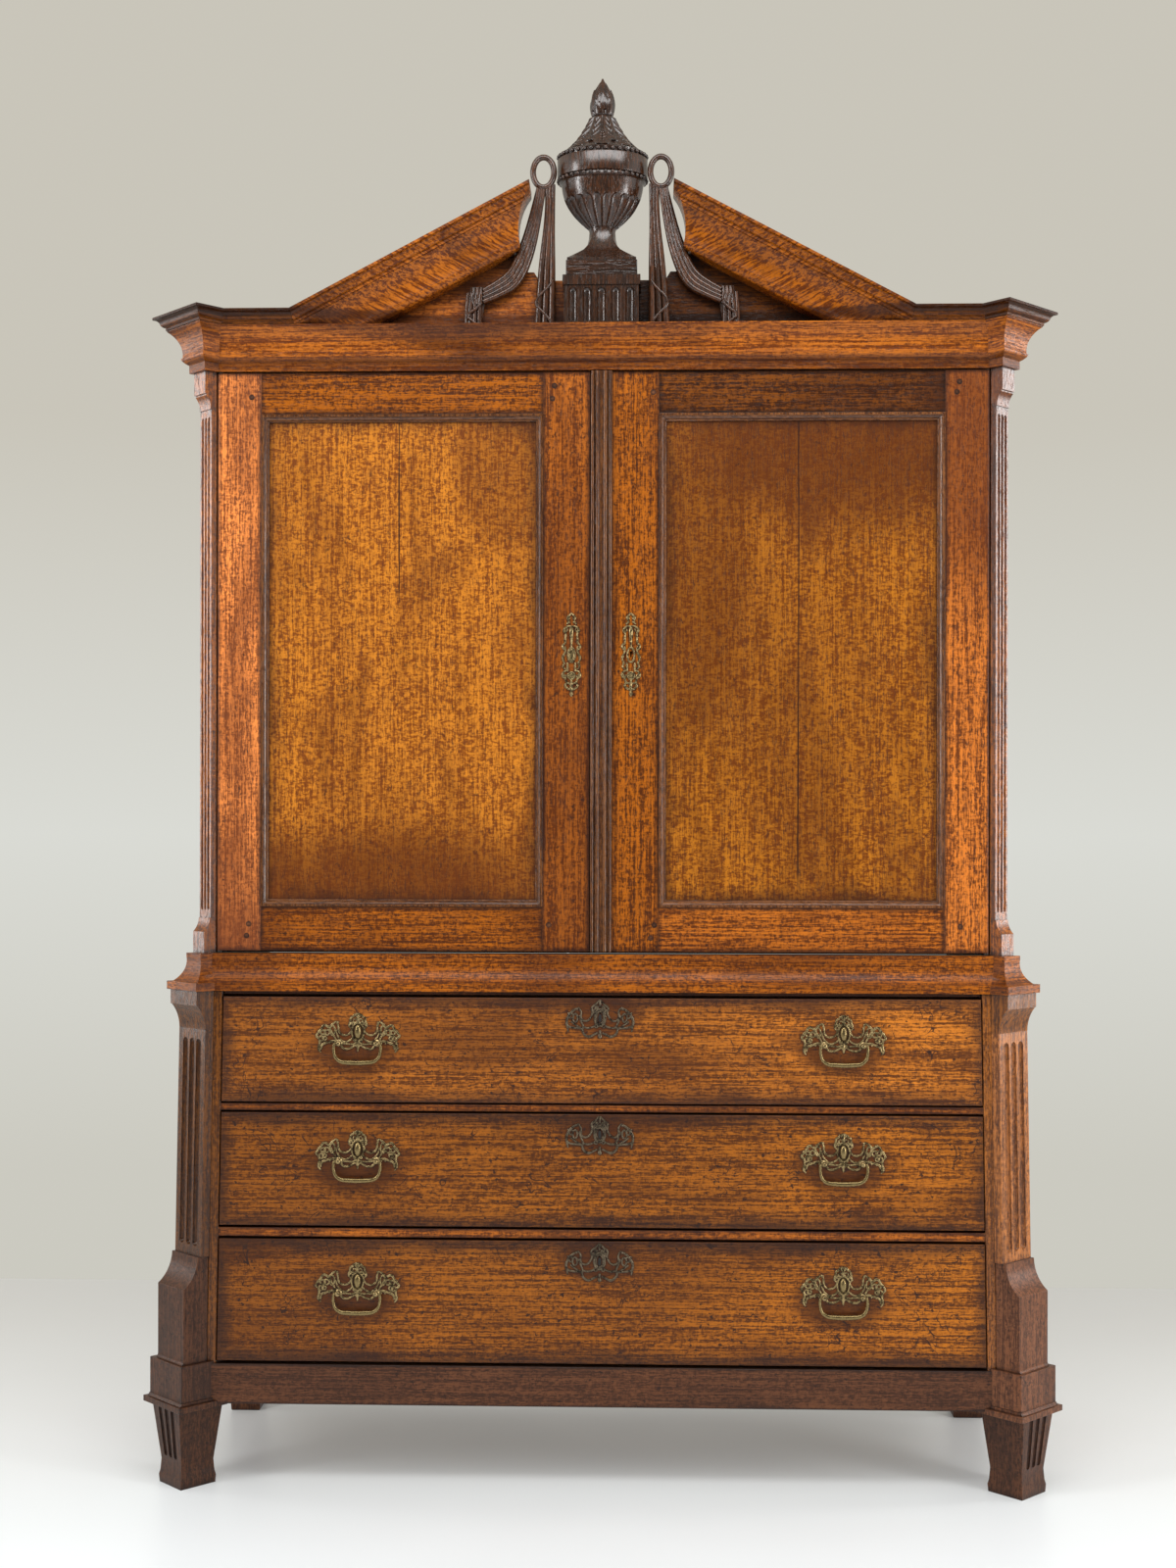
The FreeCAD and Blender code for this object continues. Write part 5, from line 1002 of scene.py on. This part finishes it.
for side in ("left", "right"):
    plateLow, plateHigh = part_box(side + "_door_scutcheon")
    middle, face = ((plateLow.x + plateHigh.x) / 2, (plateLow.z + plateHigh.z) / 2), plateHigh.y - seat
    parts = [castPlate("plate", doorPlateLook, middle, face)]
    if side == "left":  # blind, so that it matches the right plate
        parts.append(boss("blind", middle, face, blindSize, "brass"))
    place(joinPieces("cast_" + side + "_door_plate", parts), side + "_door", "brass", side + "_door_scutcheon")
print("brass cast")


# dowel ends at the door corners

pegLook = {"radius": 0.0052, "length": 0.0030, "proud": 0.0004}
pegSpots = {
    # place across and in height, on the cabinet
    "left_door": [(-0.656, 2.029), (-0.092, 2.024), (-0.660, 1.042), (-0.097, 1.042), (-0.088, 2.048),
                  (-0.664, 1.020)],
    "right_door": [(0.096, 2.035), (0.659, 2.033), (0.100, 1.042), (0.667, 1.041), (0.664, 2.052), (0.093, 1.018)],
}
for door, spots in pegSpots.items():
    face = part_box(door + "_frame")[0].y + pegLook["length"] / 2 - pegLook["proud"]
    marks = bpy.data.meshes.new(door + "_pegs")
    marks.from_pydata([(x, face, z) for x, z in spots], [], [])
    row = useTree(linked("dowels_" + door, marks), pegs, {
        "Peg Radius": pegLook["radius"], "Peg Length": pegLook["length"], "Finish": finishes["oak_dark"]})
    paintGrain(row.data, "x")
    place(row, door, "oak_dark")
print("pegs driven")


# camera, floor and light

photoView = {"place": (0.087, -3.8607, 1.211), "turn": (90, -0.11, 1.74), "lens": 44.955, "shiftY": 0.0321}
eye = linked("photo camera", bpy.data.cameras.new("photo camera"))
eye.location = photoView["place"]
eye.rotation_euler = [math.radians(angle) for angle in photoView["turn"]]
eye.data.lens = photoView["lens"]
eye.data.shift_y = photoView["shiftY"]
bpy.context.scene.camera = eye

studio = {
    # the floor runs from its front edge to its back edge, and fades from colour to back between nearTo and farFrom
    "side": 6, "front": -7, "rear": 1.414, "nearTo": -1.4, "farFrom": 1.3,
    "floorColour": (0.80, 0.85, 0.88), "floorBack": (0.68, 0.68, 0.65), "floorGlow": (1.0, 1.03, 1.06), "glow": 0.13,
    # what the camera sees behind the cabinet, by the sine of the height, halved and raised by a half
    "wall": [(0.42, (0.60, 0.59, 0.53)), (0.60, (0.585, 0.56, 0.49)), (0.50, (0.70, 0.705, 0.66))],
    # the room's dark end behind the camera and its bright sides, each from where it starts to where it is full
    "dimRoom": (0.05, 0.05, 0.05), "dimFrom": (0.25, 0.85), "dim": 0.8, "sideWalls": (1.0, 1.0, 0.97),
    "sidesFrom": (0.72, 0.92), "ambient": 0.66, "ambientTint": (1.0, 0.98, 0.95),
}
side, front, rear = studio["side"], studio["front"], studio["rear"]
floorMesh = bpy.data.meshes.new("studio floor")
floorMesh.from_pydata([(-side, front, 0), (side, front, 0), (side, rear, 0), (-side, rear, 0)], [], [(0, 1, 2, 3)])
floor = linked("studio_floor", floorMesh)
paint = Finish("painted floor")
spot = paint.out("ShaderNodeTexCoord", result="Object")
scuff = paint.noise(spot, 2.3, 5.0, 0.6)
rays = paint.rays()
seen = paint.pick("MAXIMUM", [rays["Is Camera Ray"], rays["Is Glossy Ray"]])
nearer = 1.0 - paint.mask(paint.parts(spot)[1], studio["nearTo"], studio["farFrom"])
floorMesh.materials.append(paint.surface({
    "Base Color": paint.blend(nearer * (0.9 + scuff * 0.1), studio["floorBack"], studio["floorColour"]),
    "Roughness": 0.24 + scuff * 0.2,
    "Emission Color": paint.blend(seen * (0.35 + nearer * 0.65), (0, 0, 0), studio["floorGlow"]),
    "Emission Strength": studio["glow"]}))

world = bpy.data.worlds.new("studio")
bpy.context.scene.world = world
sky = Finish("sky", world)
rays = sky.rays()
seen = sky.pick("MAXIMUM", [rays["Is Camera Ray"], rays["Is Glossy Ray"], rays["Is Transmission Ray"]])
east, north, height = sky.parts(sky.out("ShaderNodeTexCoord", result="Generated"))
wall = sky.out("ShaderNodeValToRGB", {0: height * 0.5 + 0.5}, stops=studio["wall"])
room = sky.blend(sky.mask(-1.0 * north, *studio["dimFrom"]) * studio["dim"], wall, studio["dimRoom"])
room = sky.blend(sky.mask(abs(east), *studio["sidesFrom"]), room, studio["sideWalls"])
shown = sky.blend(rays["Is Camera Ray"], room, wall)
lit = sky.blend(seen, [studio["ambient"] * tint for tint in studio["ambientTint"]], shown)
sky.close(sky.out("ShaderNodeBackground", {"Color": lit}), "ShaderNodeOutputWorld")

lampAim = Vector((0, 0, 1.15))
lamps = {
    # name: place, size, watts, spread in degrees
    "left window": ((-2.9, -2.1, 2.5), (0.45, 2.4), 48, 180),
    "right window": ((2.9, -2.1, 1.5), (0.45, 2.2), 46, 180),
    "ceiling light": ((0.2, -2.0, 3.8), (3.0, 1.0), 58, 180),
    "left side window": ((-2.6, 0.15, 1.6), (0.35, 1.9), 3.5, 100),
    "right side window": ((2.6, 0.02, 1.6), (0.35, 1.9), 6, 100),
}
for name, (spotAt, size, watts, spread) in lamps.items():
    lamp = bpy.data.lights.new(name, "AREA")
    lamp.shape = "RECTANGLE"
    lamp.size, lamp.size_y = size
    lamp.energy = watts
    lamp.spread = math.radians(spread)
    holder = linked(name, lamp)
    holder.location = spotAt
    holder.rotation_euler = (lampAim - Vector(spotAt)).to_track_quat("-Z", "Y").to_euler()
bpy.context.scene.view_settings.view_transform = "Standard"
print("camera and light set")
